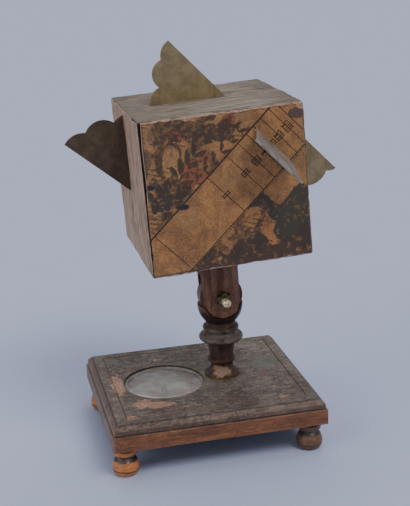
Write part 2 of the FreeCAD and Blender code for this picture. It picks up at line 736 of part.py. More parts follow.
X, Y, Z = (1, 0, 0), (0, 1, 0), (0, 0, 1)
LEFT, DOWN = (-1, 0, 0), (0, 0, -1)
TOP_PLACE = on_face("top_root_x", "block_height / 2", LEFT, Z)
NORTH_PLACE = on_face("-block_length / 2", "north_root_z", Z, LEFT)
SOUTH_PLACE = on_face("block_length / 2 + paper_thickness", "south_root_z", DOWN, X)
GNOMONS = {
    "top": (style_steps("top"), "top_base", TOP_PLACE),
    "north": (style_steps("north"), "north_base", NORTH_PLACE),
    "south": (style_steps("south"), "south_base", SOUTH_PLACE),
    "west": (PLATE_STEPS, "plate_base", plate_frame(-1)),
    "east": (PLATE_STEPS, "plate_base", plate_frame(1)),
}


# Boards of the block, mitred at all their edges

BOARDS = {
    "west": ("block_length", "block_height", "block_width", turned(Z, 0)),
    "south": ("block_width", "block_height", "block_length", turned(Z, 90)),
    "east": ("block_length", "block_height", "block_width", turned(Z, 180)),
    "north": ("block_width", "block_height", "block_length", turned(Z, -90)),
    "top": ("block_length", "block_width", "block_height", turned(X, -90)),
    "bottom": ("block_length", "block_width", "block_height", turned(X, 90)),
}
PAPERS = ("west", "east", "south")


def opening(side):
    """How far a board and its paper stay back from the open joint."""
    return "open_joint" if side == "west" else "0"


def make_board(side):
    length, height, depth, rotation = BOARDS[side]
    low = f"{opening(side)} - {length} / 2"
    board = doc.addObject("Part::Wedge", side + "_wedge")
    bind(board, Ymin=f"-{depth} / 2", Ymax=f"-{depth} / 2 + board_thickness")
    bind(board, Xmin=low, Xmax=f"{length} / 2")
    bind(board, Zmin=f"-{height} / 2", Zmax=f"{height} / 2")
    bind(board, X2min=f"{low} + board_thickness", X2max=f"{length} / 2 - board_thickness")
    bind(board, Z2min=f"-{height} / 2 + board_thickness", Z2max=f"{height} / 2 - board_thickness")
    board.Placement = FreeCAD.Placement(FreeCAD.Vector(), rotation)
    if side == "bottom":
        tool = rod("fork_mortise", "fork_tenon_radius + glue_gap", "2 * board_thickness")
        bind(tool, Height="fork_tenon_length + glue_gap + board_thickness")
        tool.setExpression(".Placement.Base.z", ref("-block_height / 2 - board_thickness"))
    else:
        tool = slot_tool(f"{side}_board_slot", *GNOMONS[side][1:])
    keep(cut(side + "_cut", board, [tool]), f"block_{side}_board", BLOCK)


def make_paper(side):
    length, height, depth, rotation = BOARDS[side]
    paper = doc.addObject("Part::Box", side + "_sheet")
    bind(paper, Length=f"{length} - 2 * paper_margin - {opening(side)}", Width="paper_thickness")
    bind(paper, Height=f"{height} - 2 * paper_margin")
    low = f"{opening(side)} + paper_margin - {length} / 2"
    corner = place(low, f"-{depth} / 2 - paper_thickness", f"paper_margin - {height} / 2")
    paper.Placement = FreeCAD.Placement(FreeCAD.Vector(), rotation).multiply(corner)
    tool = slot_tool(f"{side}_paper_slot", *GNOMONS[side][1:])
    keep(cut(side + "_paper_cut", paper, [tool]), f"{side}_dial_paper", BLOCK)


# The whole object

make_plinth()
for foot_name, (foot_x, foot_y) in zip(FOOT_NAMES, FOOT_PLACES):
    make_foot(foot_name, foot_x, foot_y)
make_compass()
make_pillar()
make_fork()
make_bolt()
make_washers()
make_nut()
for side in BOARDS:
    make_board(side)
for side in PAPERS:
    make_paper(side)
for side, details in GNOMONS.items():
    make_gnomon(side + "_gnomon", *details)
doc.removeObject(reader.Name)
doc.recompute()

# Checks and files

broken = [thing.Name for thing in doc.Objects if {"Invalid", "Error"} & set(thing.State)]
if broken:
    raise RuntimeError(f"failed objects: {broken}")
for piece in pieces:
    if piece.Shape.isNull() or not piece.Shape.isValid() or not piece.Shape.Solids:
        raise RuntimeError(f"{piece.Label} has no valid solid")

os.makedirs("parts", exist_ok=True)
for piece in pieces:
    piece.Shape.exportStep(f"parts/{piece.Label}.step")
    solids, volume = len(piece.Shape.Solids), piece.Shape.Volume
    extent = piece.Shape.BoundBox
    print(
        f"{piece.Label}: {solids} solid, {volume:.1f} mm3,"
        f" x {extent.XMin:.1f}..{extent.XMax:.1f}, y {extent.YMin:.1f}..{extent.YMax:.1f},"
        f" z {extent.ZMin:.1f}..{extent.ZMax:.1f}"
    )
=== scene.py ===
# %% [markdown]
# # A cube sundial on a turned pillar
# The real object is a small wooden cube with printed dials pasted on its sides. It leans on a knuckle
# joint over a turned pillar and a moulded base with a compass. The CAD model already has every part in
# its place, so this lesson loads it and works on the looks: worn boards, old paper, ink, brass, lacquer,
# paint and glass.

# %% Load the CAD frame
import json
import math

import bmesh
import bpy
import numpy as np
from mathutils import Matrix, Vector, noise


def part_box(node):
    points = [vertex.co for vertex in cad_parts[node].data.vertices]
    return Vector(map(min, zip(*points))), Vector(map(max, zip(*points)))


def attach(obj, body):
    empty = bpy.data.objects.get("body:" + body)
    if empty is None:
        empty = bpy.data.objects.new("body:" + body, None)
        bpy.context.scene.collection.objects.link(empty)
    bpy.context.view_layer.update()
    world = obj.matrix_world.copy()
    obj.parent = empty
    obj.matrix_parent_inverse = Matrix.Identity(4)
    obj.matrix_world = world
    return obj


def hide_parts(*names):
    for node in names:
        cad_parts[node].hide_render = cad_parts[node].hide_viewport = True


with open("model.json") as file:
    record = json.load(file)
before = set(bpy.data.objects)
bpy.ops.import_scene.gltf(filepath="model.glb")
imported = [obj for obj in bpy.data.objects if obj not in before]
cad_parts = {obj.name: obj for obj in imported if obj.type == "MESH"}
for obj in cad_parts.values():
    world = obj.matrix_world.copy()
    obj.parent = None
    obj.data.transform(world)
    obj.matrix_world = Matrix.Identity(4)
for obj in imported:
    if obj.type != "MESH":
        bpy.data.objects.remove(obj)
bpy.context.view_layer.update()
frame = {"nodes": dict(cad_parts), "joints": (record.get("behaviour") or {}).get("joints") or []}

nodes = frame["nodes"]

# %% [markdown]
# Blender works in metres, and this object is easier to think of in millimetres. One factor turns the one
# into the other. The cube leans with the knuckle, so its own frame stands in the middle of the cube: a
# step to the right of the west dial is +X there, and up is +Z. Anything made for the cube is made in that
# frame first.

# %% Units and the cube's own frame
MM = 0.001
LEAN = math.radians(-3.3)
HALF = Vector((37.5, 35.9, 35.55))
CUBE_ABOVE_BOLT = 60.95
bolt_point = Vector(next(j["pos_m"] for j in frame["joints"] if j["name"] == "head_tilt"))
lean = Matrix.Rotation(LEAN, 4, "Y")
cube_middle = bolt_point + lean @ Vector((0, 0, CUBE_ABOVE_BOLT * MM))
cube_to_world = Matrix.Translation(cube_middle) @ lean @ Matrix.Scale(MM, 4)
print("middle of the cube:", [round(c, 4) for c in cube_middle])

# %% [markdown]
# A finish is a node tree. Written out in full it is long, so a small class holds the tree and gives the
# usual nodes short names: spots of noise, a soft step between two values, a mix of two colours.
# Coordinates are taken from the object, moved to a chosen middle and given in millimetres, so a noise of
# size 2 makes spots about 2 mm across.

# %% A short way to write finishes
def shade(red, green, blue):
    """A colour as seen on a screen, 0 to 255, turned into the linear colour that shaders use."""
    parts = [c / 255 for c in (red, green, blue)]
    return (*[((p + 0.055) / 1.055) ** 2.4 if p > 0.04 else p / 12.92 for p in parts], 1.0)


class Finish:
    """One material and the nodes that make its pattern."""

    def __init__(self, name, roughness, **sockets):
        self.material = bpy.data.materials.new(name)
        self.material.use_nodes = True
        self.tree = self.material.node_tree
        self.shader = self.tree.nodes["Principled BSDF"]
        self.feed(self.shader.inputs["Roughness"], roughness)
        for socket, value in sockets.items():
            self.feed(self.shader.inputs[socket.replace("_", " ")], value)

    def feed(self, socket, value):
        if isinstance(value, bpy.types.NodeSocket):
            self.tree.links.new(value, socket)
        else:
            socket.default_value = value

    def add(self, kind, inputs=(), **settings):
        node = self.tree.nodes.new("ShaderNode" + kind)
        for name, value in settings.items():
            setattr(node, name, value)
        for socket, value in dict(inputs).items():
            self.feed(node.inputs[socket], value)
        return node

    def place(self, middle=(0, 0, 0), turn=(0, 0, 0), stretch=(1, 1, 1)):
        """Object coordinates in millimetres, from a middle given in metres."""
        source = self.add("TexCoord").outputs["Object"]
        scale = [MM * s for s in stretch]
        inputs = {"Vector": source, "Location": middle, "Rotation": turn, "Scale": scale}
        return self.add("Mapping", inputs, vector_type="TEXTURE").outputs[0]

    def spots(self, where, size, detail=4.0, rough=0.55, twist=0.0):
        inputs = {"Vector": where, "Scale": 1 / size, "Detail": detail, "Roughness": rough}
        return self.add("TexNoise", {**inputs, "Distortion": twist}).outputs[0]

    def cracks(self, where, size, width):
        """1 along thin winding lines, where a noise passes through its middle value."""
        away = self.calc("ABSOLUTE", self.calc("SUBTRACT", self.spots(where, size, 6, 0.7), 0.5))
        return self.step(away, width, 0.0)

    def step(self, value, low, high):
        """0 below low, 1 above high, and smooth between them. Low may be the larger."""
        inputs = {"Value": value, "From Min": low, "From Max": high}
        return self.add("MapRange", inputs, interpolation_type="SMOOTHSTEP").outputs[0]

    def calc(self, operation, first, second=0.0, third=0.0):
        return self.add("Math", {0: first, 1: second, 2: third}, operation=operation).outputs[0]

    def both(self, *masks):
        """The product of masks: 1 only where all of them are."""
        product = masks[0]
        for mask in masks[1:]:
            product = self.calc("MULTIPLY", product, mask)
        return product

    def mix(self, amount, first, second):
        return self.add("Mix", {0: amount, 6: first, 7: second}, data_type="RGBA").outputs[2]

    def ground(self, paint):
        """The colour of the surface so far."""
        self.paint = paint
        self.feed(self.shader.inputs["Base Color"], paint)

    def glaze(self, mask, paint, strength=1.0):
        """Lays a paint over the colour so far where a mask is 1."""
        if strength < 1:
            mask = self.calc("MULTIPLY", mask, strength)
        self.ground(self.mix(mask, self.paint, paint))

    def band(self, value, low, full, fading, high):
        """0 below low and above high, 1 from full to fading."""
        return self.both(self.step(value, low, full), self.step(value, high, fading))

    def length(self, vector):
        return self.add("VectorMath", {0: vector}, operation="LENGTH").outputs["Value"]

    def from_axis(self, where):
        """The distance from the upright line through the middle."""
        flat = self.add("CombineXYZ", {0: self.axis(where, "X"), 1: self.axis(where, "Y")})
        return self.length(flat.outputs[0])

    def axis(self, where, name):
        return self.add("SeparateXYZ", {0: where}).outputs[name]

    def edges(self, width, noise_value, low, high):
        """1 along worn edges: where a rounded normal would differ from the flat one."""
        rounded = self.add("Bevel", {"Radius": width * MM}, samples=6).outputs[0]
        flat = self.add("NewGeometry").outputs["Normal"]
        same = self.add("VectorMath", {0: rounded, 1: flat}, operation="DOT_PRODUCT").outputs["Value"]
        bent = self.calc("MULTIPLY", self.calc("SUBTRACT", 1.0, same), 4.0)
        return self.step(self.calc("MULTIPLY", bent, noise_value), low, high)

    def bump(self, height, depth, rounding=0.0):
        """Relief of depth millimetres. A rounding softens the light on sharp edges."""
        inputs = {"Height": height, "Distance": depth * MM}
        if rounding:
            inputs["Normal"] = self.add("Bevel", {"Radius": rounding * MM}, samples=6).outputs[0]
        self.feed(self.shader.inputs["Normal"], self.add("Bump", inputs).outputs[0])

    def wear_on(self, *objects):
        for thing in objects:
            thing.data.materials.clear()
            thing.data.materials.append(self.material)
            for face in thing.data.polygons:
                face.material_index = 0


CUBE = {"middle": tuple(cube_middle), "turn": (0, LEAN, 0)}
print("finish helpers ready")

# %% [markdown]
# ## Bare wood of the cube
# The top and north boards lost their paper long ago. What is left is grey-brown wood with dark streaks
# along the grain, a few pinkish and greenish remains of old paint, and paler worn edges. Inside the
# joints the wood is painted near-black as shade in the deep gaps, and the top is darker towards both
# ends. The side boards get a lighter copy of the wood, painted light for the weaker light on the north
# face. Grain is noise that is stretched along one axis, so each board gets the same recipe with its own
# direction.

# %% Finish: bare wood
def bare_wood(name, along, light, dark, darker_ends):
    finish = Finish(name, 0.8)
    stretch = [1.0, 1.0, 1.0]
    stretch["XYZ".index(along)] = 14.0
    where = finish.place(**CUBE)
    grain_place = finish.place(**CUBE, stretch=stretch)
    streaks = finish.spots(grain_place, 1.2, 6, 0.72, 0.5)
    broad = finish.spots(finish.place(**CUBE, stretch=[1 + (k - 1) * 0.25 for k in stretch]), 5.0, 4, 0.65)
    patches = finish.spots(where, 13, 4, 0.6)
    speck = finish.spots(where, 0.8, 3, 0.7)
    finish.ground(finish.mix(finish.step(streaks, 0.26, 0.74), dark, light))
    # The wood is darker towards both ends along X, by the last argument.
    far = finish.step(finish.calc("ABSOLUTE", finish.axis(where, "X")), 16, 38)
    finish.glaze(far, dark, darker_ends)
    finish.glaze(finish.step(broad, 0.44, 0.7), dark, 0.45)
    pink = finish.both(finish.step(patches, 0.55, 0.72), finish.step(speck, 0.35, 0.6))
    finish.glaze(pink, shade(170, 132, 116), 0.7)
    green = finish.both(finish.step(patches, 0.42, 0.3), finish.step(broad, 0.35, 0.6))
    finish.glaze(green, shade(88, 94, 80), 0.6)
    holes = finish.step(finish.spots(where, 2.2, 5, 0.75), 0.7, 0.76)
    finish.glaze(holes, shade(58, 46, 40), 0.7)
    splits = finish.both(finish.cracks(grain_place, 3.5, 0.02), finish.step(patches, 0.35, 0.6))
    finish.glaze(splits, shade(52, 42, 37), 0.7)
    worn = finish.edges(1.2, speck, 0.1, 0.9)
    finish.glaze(worn, shade(168, 140, 122), 0.55)
    # Painted shade: points more than half a millimetre inside the cube, the mitre faces in the joints, turn
    # near-black, as the deep gaps get no light.
    depth = None
    for name, half in zip("XYZ", HALF):
        inside = finish.calc("SUBTRACT", half, finish.calc("ABSOLUTE", finish.axis(where, name)))
        depth = inside if depth is None else finish.calc("MINIMUM", depth, inside)
    finish.glaze(finish.step(depth, 0.4, 0.65), shade(20, 15, 13))
    relief = finish.calc("ADD", streaks, finish.calc("MULTIPLY", speck, 0.5))
    finish.bump(finish.calc("SUBTRACT", relief, splits), 0.25)
    return finish


# The side boards get a lighter copy of the same wood: painted light, since the lamps light the north face more
# weakly than the top.
top_wood = bare_wood("bare_wood_top", "X", shade(154, 144, 132), shade(92, 84, 77), 0.75)
side_wood_painted_lighter = bare_wood("bare_wood_north_painted_lighter", "Z", shade(202, 172, 149), shade(140, 114, 93), 0.0)
print("bare wood:", top_wood.material.name, side_wood_painted_lighter.material.name)

# %% [markdown]
# ## Worn boards
# The six boards meet in mitres. The CAD has them with sharp edges, but long handling has
# rounded the cube's corners unevenly and chipped its edges. Each board is a grid, extruded inwards and
# drawn in to its mitres. Then one field of wear moves the points of all boards alike: it pulls them onto
# a rounded box whose rounding changes along the edges, so neighbours still meet. Sculpting each board by
# hand would open the joints.

# %% Faces of the cube and its field of wear
FACES = {
    "west": (Vector((1, 0, 0)), Vector((0, 0, 1))),
    "east": (Vector((-1, 0, 0)), Vector((0, 0, 1))),
    "south": (Vector((0, 1, 0)), Vector((0, 0, 1))),
    "north": (Vector((0, -1, 0)), Vector((0, 0, 1))),
    "top": (Vector((1, 0, 0)), Vector((0, 1, 0))),
    "bottom": (Vector((1, 0, 0)), Vector((0, -1, 0))),
}
CHIP_SHIFT = Vector((40, 7, 23))


def reach(direction):
    return abs(direction.dot(HALF))


def worn(point, relief=0.0):
    """A point of the sharp cube, moved to the worn surface, and the way outwards there. The rounding
    swells slowly over 17 mm and faster over 4 mm, and chips about 3 mm long bite deeper."""
    rounding = 1.15 + 0.9 * noise.noise(point / 17) + 0.35 * noise.noise(point / 4)
    rounding = max(rounding, 0.35) + 3.0 * max(0.0, noise.noise(point / 3.3 + CHIP_SHIFT) - 0.22)
    core = Vector([max(-h + rounding, min(h - rounding, c)) for c, h in zip(point, HALF)])
    away = point - core
    if away.length > rounding:
        point = core + away.normalized() * rounding
    outwards = away.normalized() if away.length > 1e-6 else Vector((0, 0, 0))
    dent = relief * (0.5 + 0.5 * noise.noise(point / 7))
    return point - outwards * dent, outwards


def lay_on_cube(mesh, side, relief=0.0):
    """Moves a mesh drawn on a flat face, x and y on the face and z out of it, onto the worn cube."""
    right, up = FACES[side]
    normal = right.cross(up)
    for vertex in mesh.verts:
        x, y, z = vertex.co
        base = right * x + up * y + normal * reach(normal)
        if z < -1:
            vertex.co = cube_to_world @ (base + normal * z)
        else:
            point, outwards = worn(base, relief)
            vertex.co = cube_to_world @ (point + outwards * z)


def crowd(t):
    """Brings evenly spaced values between -1 and 1 closer together near both ends."""
    return 0.6 * t + 0.4 * (1.5 * t - 0.5 * t ** 3)


def finished(mesh, name, body, finish, stands_for=(), smooth=True):
    """Turns a bmesh into a piece that rides on its body."""
    bmesh.ops.recalc_face_normals(mesh, faces=mesh.faces[:])
    data = bpy.data.meshes.new(name)
    mesh.to_mesh(data)
    mesh.free()
    thing = bpy.data.objects.new(name, data)
    bpy.context.scene.collection.objects.link(thing)
    for face in data.polygons:
        face.use_smooth = smooth
    finish.wear_on(thing)
    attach(thing, body)
    if stands_for:
        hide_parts(*stands_for)
    print(name, "faces:", len(data.polygons))


# %% [markdown]
# The joint between the west and north boards has opened: the west board and its paper stay back from the
# corner, more at the top than at the foot, and the gap shows black, as the mitre faces inside it carry
# painted shade. One function gives its width for board and paper.

# %% Make the boards
BOARD = 7.0


def open_joint(side, height):
    """Width of the open joint at the left edge of the west board."""
    return 1.25 + 0.014 * height + 0.16 * math.sin(height / 5) if side == "west" else 0.0


def board_mesh(side, step=0.8):
    right, up = FACES[side]
    wide, high = reach(right), reach(up)
    mesh = bmesh.new()
    bmesh.ops.create_grid(mesh, x_segments=int(2 * wide / step), y_segments=int(2 * high / step), size=1)
    inside = bmesh.ops.extrude_face_region(mesh, geom=mesh.faces[:])["geom"]
    inner = {part for part in inside if isinstance(part, bmesh.types.BMVert)}
    for vertex in mesh.verts:
        x, y = crowd(vertex.co.x), crowd(vertex.co.y)
        if vertex in inner:
            vertex.co = (x * (wide - BOARD), y * (high - BOARD), -BOARD)
        else:
            vertex.co = (x * wide, y * high, 0)
        vertex.co.x += open_joint(side, vertex.co.y) * (1 - x) / 2
    floor_faces = [face for face in mesh.faces if all(v in inner for v in face.verts)]
    bmesh.ops.dissolve_faces(mesh, faces=floor_faces, use_verts=True)
    return mesh


for side in FACES:
    mesh = board_mesh(side)
    lay_on_cube(mesh, side, relief=0.22)
    finish = top_wood if side in ("top", "bottom") else side_wood_painted_lighter
    finished(mesh, f"worn_{side}_board", "head", finish, [f"block_{side}_board"])

# %% [markdown]
# ## Printed papers
# Each dial is a printed sheet: a plain ochre band for the hours, and coloured scenery of leaves and hills
# in the corners. The scenery is made of masks, numbers from 0 to 1 at every point of a fine grid: how
# much brown, red or green ink lies there, and where the paper is rubbed away. They are stored as colour
# attributes, and the material mixes its paints by them. Image textures would need files, and nodes alone
# would make such shapes hard to read.

# %% Masks for the scenery
def cloud(x, y, size, seed, octaves=4):
    """Soft random patches about size millimetres across, from 0 to 1."""
    total, weight = np.zeros_like(x), 0.0
    for k in range(octaves):
        lattice = np.random.default_rng(seed + 17 * k).random((256, 256))
        fx, fy = x / size * 2 ** k + 101.3, y / size * 2 ** k + 57.7
        ix, iy = np.floor(fx).astype(int), np.floor(fy).astype(int)
        tx, ty = fx - ix, fy - iy
        tx, ty = tx * tx * (3 - 2 * tx), ty * ty * (3 - 2 * ty)
        value = sum(
            lattice[(ix + dx) % 256, (iy + dy) % 256] * (tx if dx else 1 - tx) * (ty if dy else 1 - ty)
            for dx in (0, 1)
            for dy in (0, 1)
        )
        total, weight = total + value * 0.55 ** k, weight + 0.55 ** k
    return total / weight


def soft(value, low, high):
    t = np.clip((value - low) / (high - low), 0, 1)
    return t * t * (3 - 2 * t)


def leaf(x, y, root, angle, length, width):
    """One pointed leaf, 1 inside and 0 outside."""
    c, s = math.cos(math.radians(angle)), math.sin(math.radians(angle))
    along = ((x - root[0]) * c + (y - root[1]) * s) / length
    across = -(x - root[0]) * s + (y - root[1]) * c
    edge = width * np.sin(np.pi * np.clip(along, 0, 1)) ** 0.7
    return soft(edge - np.abs(across + 0.08 * length * np.sin(3 * along)), 0.0, 0.5)


def spray(x, y, root, angle, length, count, size):
    """A stem with pairs of leaves that grow smaller towards its tip."""
    shape = leaf(x, y, root, angle, length, 0.5)
    c, s = math.cos(math.radians(angle)), math.sin(math.radians(angle))
    for k in range(count):
        t = (k + 0.6) / count
        at = (root[0] + c * t * length, root[1] + s * t * length)
        for way in (-1, 1):
            turn, width = way * (52 - 18 * t), size * 0.2 * (1.1 - 0.4 * t)
            blade = leaf(x, y, at, angle + turn, size * (1.2 - 0.6 * t), width)
            shape = np.maximum(shape, blade)
    return shape


def outline(mask):
    """The rim of a mask, as a drawn line."""
    return np.clip(4 * mask * (1 - mask), 0, 1)


def blob(x, y, middle, size, ragged):
    """A rounded patch with an uneven rim."""
    away = np.hypot((x - middle[0]) / size[0], (y - middle[1]) / size[1])
    return soft(1 + ragged - away, -0.06, 0.1)


# %% Layout of the west and east papers
BAND_LOW, BAND_HIGH = -12.3, 11.3
SLOPE_C, SLOPE_S = 0.749, 0.663


def across_band(x, z):
    return -SLOPE_S * x + SLOPE_C * z


def scenery(x, z, seed):
    """Brown, red and green ink for the corners beside the hour band."""
    c = across_band(x, z)
    ragged = 0.5 * (cloud(x, z, 4.0, seed) - 0.5)
    patches = cloud(x, z, 9.0, seed + 5)
    fine = cloud(x, z, 2.2, seed + 9)
    flecks = soft(cloud(x, z, 1.7, seed + 21), 0.36, 0.5)
    upper = soft(c, BAND_HIGH + 0.2, BAND_HIGH + 0.7)
    lower = soft(-c, -BAND_LOW + 0.1, -BAND_LOW + 0.6)
    bough = spray(x, z, (-35, -9), 52, 36, 7, 10.5)
    twig = spray(x, z, (-12, 33), -20, 30, 5, 7.5)
    bough = np.maximum(bough, spray(x, z, (-24, -5.5), 46, 46, 8, 7.0))
    twig = np.maximum(twig, spray(x, z, (-35, 33), -14, 24, 5, 8.0))
    bush = blob(x, z, (-31, 1), (5.5, 9.5), ragged)
    crown = blob(x, z, (-4, 26.5), (9.5, 4.6), 1.3 * ragged)
    arch = np.clip(blob(x, z, (-25, 17), (6, 11), ragged) - blob(x, z, (-24, 15.5), (4.2, 9), ragged), 0, 1)
    brown = upper * np.maximum.reduce([0.95 * bough, 0.8 * twig, 0.85 * crown, 0.7 * arch])
    green = upper * np.maximum(bush * soft(fine, 0.3, 0.5), bough * soft(patches, 0.5, 0.6))
    red = np.zeros_like(x)
    blossoms = ((-16, 13), (-11.5, 8.5), (-17.5, 6.5), (-21, 27.5), (3, 31.5), (-8.5, 16))
    for k, place in enumerate(blossoms):
        petal = blob(x, z, place, (3.9 - 0.25 * k, 3.4 - 0.2 * k), 1.5 * ragged)
        heart = blob(x, z, place, (1.2, 1.1), ragged)
        red = np.maximum(red, upper * petal)
        brown = np.maximum(brown, upper * np.maximum(heart * 0.8, outline(petal)))

    ridge = -3.5 + 4.6 * np.sin(0.16 * x + 0.6) + 1.8 * np.sin(0.41 * x + 2.0) + 5 * ragged
    wood = soft(ridge - z, -0.4, 0.5) * soft(z - ridge, -9.5 - 4 * ragged, -8.0)
    field = soft(ridge - 9 - z, -0.5, 1.5)
    hollow = -24 + 3.6 * np.sin(0.24 * x - 0.8) + 1.6 * np.sin(0.6 * x) + 6 * ragged
    floor_dark = soft(hollow - z, -0.5, 0.8)
    path = soft(1.5 + 0.014 * (z + 14) ** 2 - np.abs(x - 15 - 0.5 * (z + 14) - 3 * ragged), -0.3, 0.5)
    green = np.maximum(green, lower * wood)
    red = np.maximum(red, lower * field * 0.4)
    hatch = soft(np.sin((0.35 * x + z) / 0.36), 0.1, 0.9) * soft(cloud(x, z, 6.0, seed + 13), 0.5, 0.62)
    brown = np.maximum(brown, 0.7 * hatch * np.maximum(lower * field, upper * soft(x, -6, -20)))
    brown = np.maximum(brown, lower * np.maximum(floor_dark * 0.95, 0.6 * path * field))
    for k, (px, pz) in enumerate(((31, -17), (34, -9), (25, -22), (34, -27), (13, -25.5), (2, -29))):
        tree = blob(x, z, (px, pz), (6.8 - 0.7 * k, 7.4 - 0.7 * k), 1.6 * ragged)
        green = np.maximum(green, lower * tree)
    tuft = spray(x, z, (-14, -35), 118, 12, 4, 6)
    green = np.maximum(green, lower * tuft)
    tint = soft(fine, 0.12, 0.45)
    smear = 0.5 * soft(patches, 0.5, 0.62) * np.maximum(upper, lower * field)
    edges = np.maximum(upper * outline(soft(arch + bush, 0, 1)), lower * outline(wood))
    brown = np.maximum.reduce([brown * tint * (0.62 + 0.38 * flecks), smear * tint, 0.8 * edges])
    return brown, red, green * (0.5 + 0.5 * flecks)


def rubbed(x, z, wide, high, seed):
    """Where the paper is rubbed bare or dirty: its rim and a few scuffs."""
    ragged = cloud(x, z, 3.0, seed + 31)
    long_ragged = cloud(x, z, 11.0, seed + 37)
    top, bottom = high - z, high + z
    left, right = wide + x, wide - x
    bare = soft(3.6 * ragged * long_ragged - top, -0.15, 0.35)
    bare = np.maximum(bare, soft(2.2 * ragged * long_ragged - bottom, -0.2, 0.3))
    bare = np.maximum(bare, 0.55 * soft(1.4 * ragged * long_ragged - np.minimum(left, right), -0.2, 0.3))
    bare = np.maximum(bare, soft(3.6 * ragged - np.hypot(x - wide + 1.0, z - high + 1.6), -0.3, 0.5))
    margin = (3.4 * long_ragged + ragged) * (0.35 + 0.65 * soft(z, 2, 18))
    dirt = soft(margin - left, -0.5, 0.7) * 0.85
    corner = blob(x, z, (wide - 3.5, high - 4.5), (4.2, 2.6), 0.8 * (ragged - 0.5))
    dirt = np.maximum(dirt, 0.9 * corner)
    bare = np.maximum(bare, 0.3 * blob(x, z, (4.2 - wide, high - 7.0), (1.8, 5.5), 2.4 * (ragged - 0.5)))
    dirt = np.maximum(dirt, 0.7 * soft(2.0 * ragged - top + 0.4, -0.5, 0.8))
    dirt = np.maximum(dirt, 0.9 * soft(2.6 * long_ragged - bottom, -0.6, 0.9))
    dirt = np.maximum(dirt, 0.65 * soft(1.7 * long_ragged - right, -0.5, 0.8))
    return bare, dirt


def blots(x, z, places):
    value = np.zeros_like(x)
    for px, pz, wide, high in places:
        value = np.maximum(value, blob(x, z, (px, pz), (wide, high), 0.3 * (cloud(x, z, 1.5, 3) - 0.5)))
    return value


print("band from", BAND_LOW, "to", BAND_HIGH, "mm across the hours")

# %% [markdown]
# The paint recipe reads the masks. Ink that lies thinly breaks up into the paper's grain, so every mask
# passes through a noisy threshold before it chooses between two colours.

# %% Finish: old printed paper
def old_paper():
    finish = Finish("printed_paper", 0.62, Coat_Weight=0.12, Coat_Roughness=0.45)
    where = finish.place(**CUBE)
    fibres = finish.spots(where, 0.55, 3, 0.7)
    specks = finish.spots(where, 1.4, 5, 0.75)
    stains = finish.spots(where, 8.0, 5, 0.6, 0.4)
    wash = finish.spots(where, 22.0, 3, 0.5)
    picture = finish.add("Attribute", attribute_name="picture")
    wear = finish.add("Attribute", attribute_name="wear")
    picture = finish.add("SeparateColor", {0: picture.outputs["Color"]})
    wear = finish.add("SeparateColor", {0: wear.outputs["Color"]})

    def broken(mask, breaks):
        """The mask with its thin places broken up."""
        eaten = finish.calc("SUBTRACT", mask, finish.calc("MULTIPLY", finish.step(specks, 0.35, 0.75), breaks))
        return finish.step(eaten, 0.1, 0.55)

    drips = finish.spots(finish.place(**CUBE, stretch=(0.7, 1, 6)), 1.0, 4, 0.7, 0.4)
    finish.ground(finish.mix(finish.step(stains, 0.33, 0.66), shade(166, 115, 64), shade(118, 79, 46)))
    finish.glaze(finish.step(wash, 0.4, 0.62), shade(146, 114, 72), 0.45)
    finish.glaze(finish.step(drips, 0.5, 0.72), shade(102, 66, 38), 0.6)
    finish.glaze(finish.step(specks, 0.53, 0.68), shade(84, 58, 38), 0.6)
    finish.glaze(finish.step(fibres, 0.52, 0.66), shade(192, 144, 88), 0.6)
    finish.glaze(finish.cracks(where, 9, 0.012), shade(90, 60, 38), 0.5)
    pits = finish.spots(where, 0.75, 4, 0.8)
    finish.glaze(finish.step(pits, 0.55, 0.66), shade(80, 52, 34), 0.55)
    drawn = finish.calc("MAXIMUM", picture.outputs[0], picture.outputs[2])
    finish.glaze(finish.step(drawn, 0.12, 0.4), shade(96, 70, 42), 0.7)
    finish.glaze(broken(picture.outputs[1], 0.5), shade(126, 66, 38), 0.75)
    finish.glaze(broken(picture.outputs[2], 0.6), shade(46, 47, 34), 0.92)
    finish.glaze(broken(picture.outputs[0], 0.6), shade(56, 40, 28), 0.9)
    finish.glaze(broken(wear.outputs[1], 0.3), shade(66, 50, 47), 0.85)
    finish.glaze(wear.outputs[2], shade(22, 25, 33))
    bare = finish.mix(finish.step(specks, 0.3, 0.7), shade(186, 146, 116), shade(128, 92, 70))
    finish.glaze(broken(wear.outputs[0], 0.25), bare)
    relief = finish.calc("ADD", fibres, finish.calc("MULTIPLY", specks, 1.2))
    relief = finish.calc("SUBTRACT", relief, finish.calc("MULTIPLY", wear.outputs[0], 0.6))
    finish.bump(relief, 0.12)
    return finish


paper = old_paper()
print("paper finish:", len(paper.tree.nodes), "nodes")

# %% Make the papers
MARGIN, PAPER = 0.35, 0.2


def paper_mesh(side, step=0.4):
    right, up = FACES[side]
    wide, high = reach(right) - MARGIN, reach(up) - MARGIN
    mesh = bmesh.new()
    bmesh.ops.create_grid(mesh, x_segments=int(2 * wide / step), y_segments=int(2 * high / step), size=1)
    for vertex in mesh.verts:
        x, y = vertex.co.x, vertex.co.y * high
        vertex.co = (x * wide + open_joint(side, y) * (1 - x) / 2, y, PAPER)
    lower = bmesh.ops.extrude_face_region(mesh, geom=mesh.faces[:])["geom"]
    lower = {part for part in lower if isinstance(part, bmesh.types.BMVert)}
    for vertex in lower:
        vertex.co.z = 0.02
    return mesh, lower, wide, high


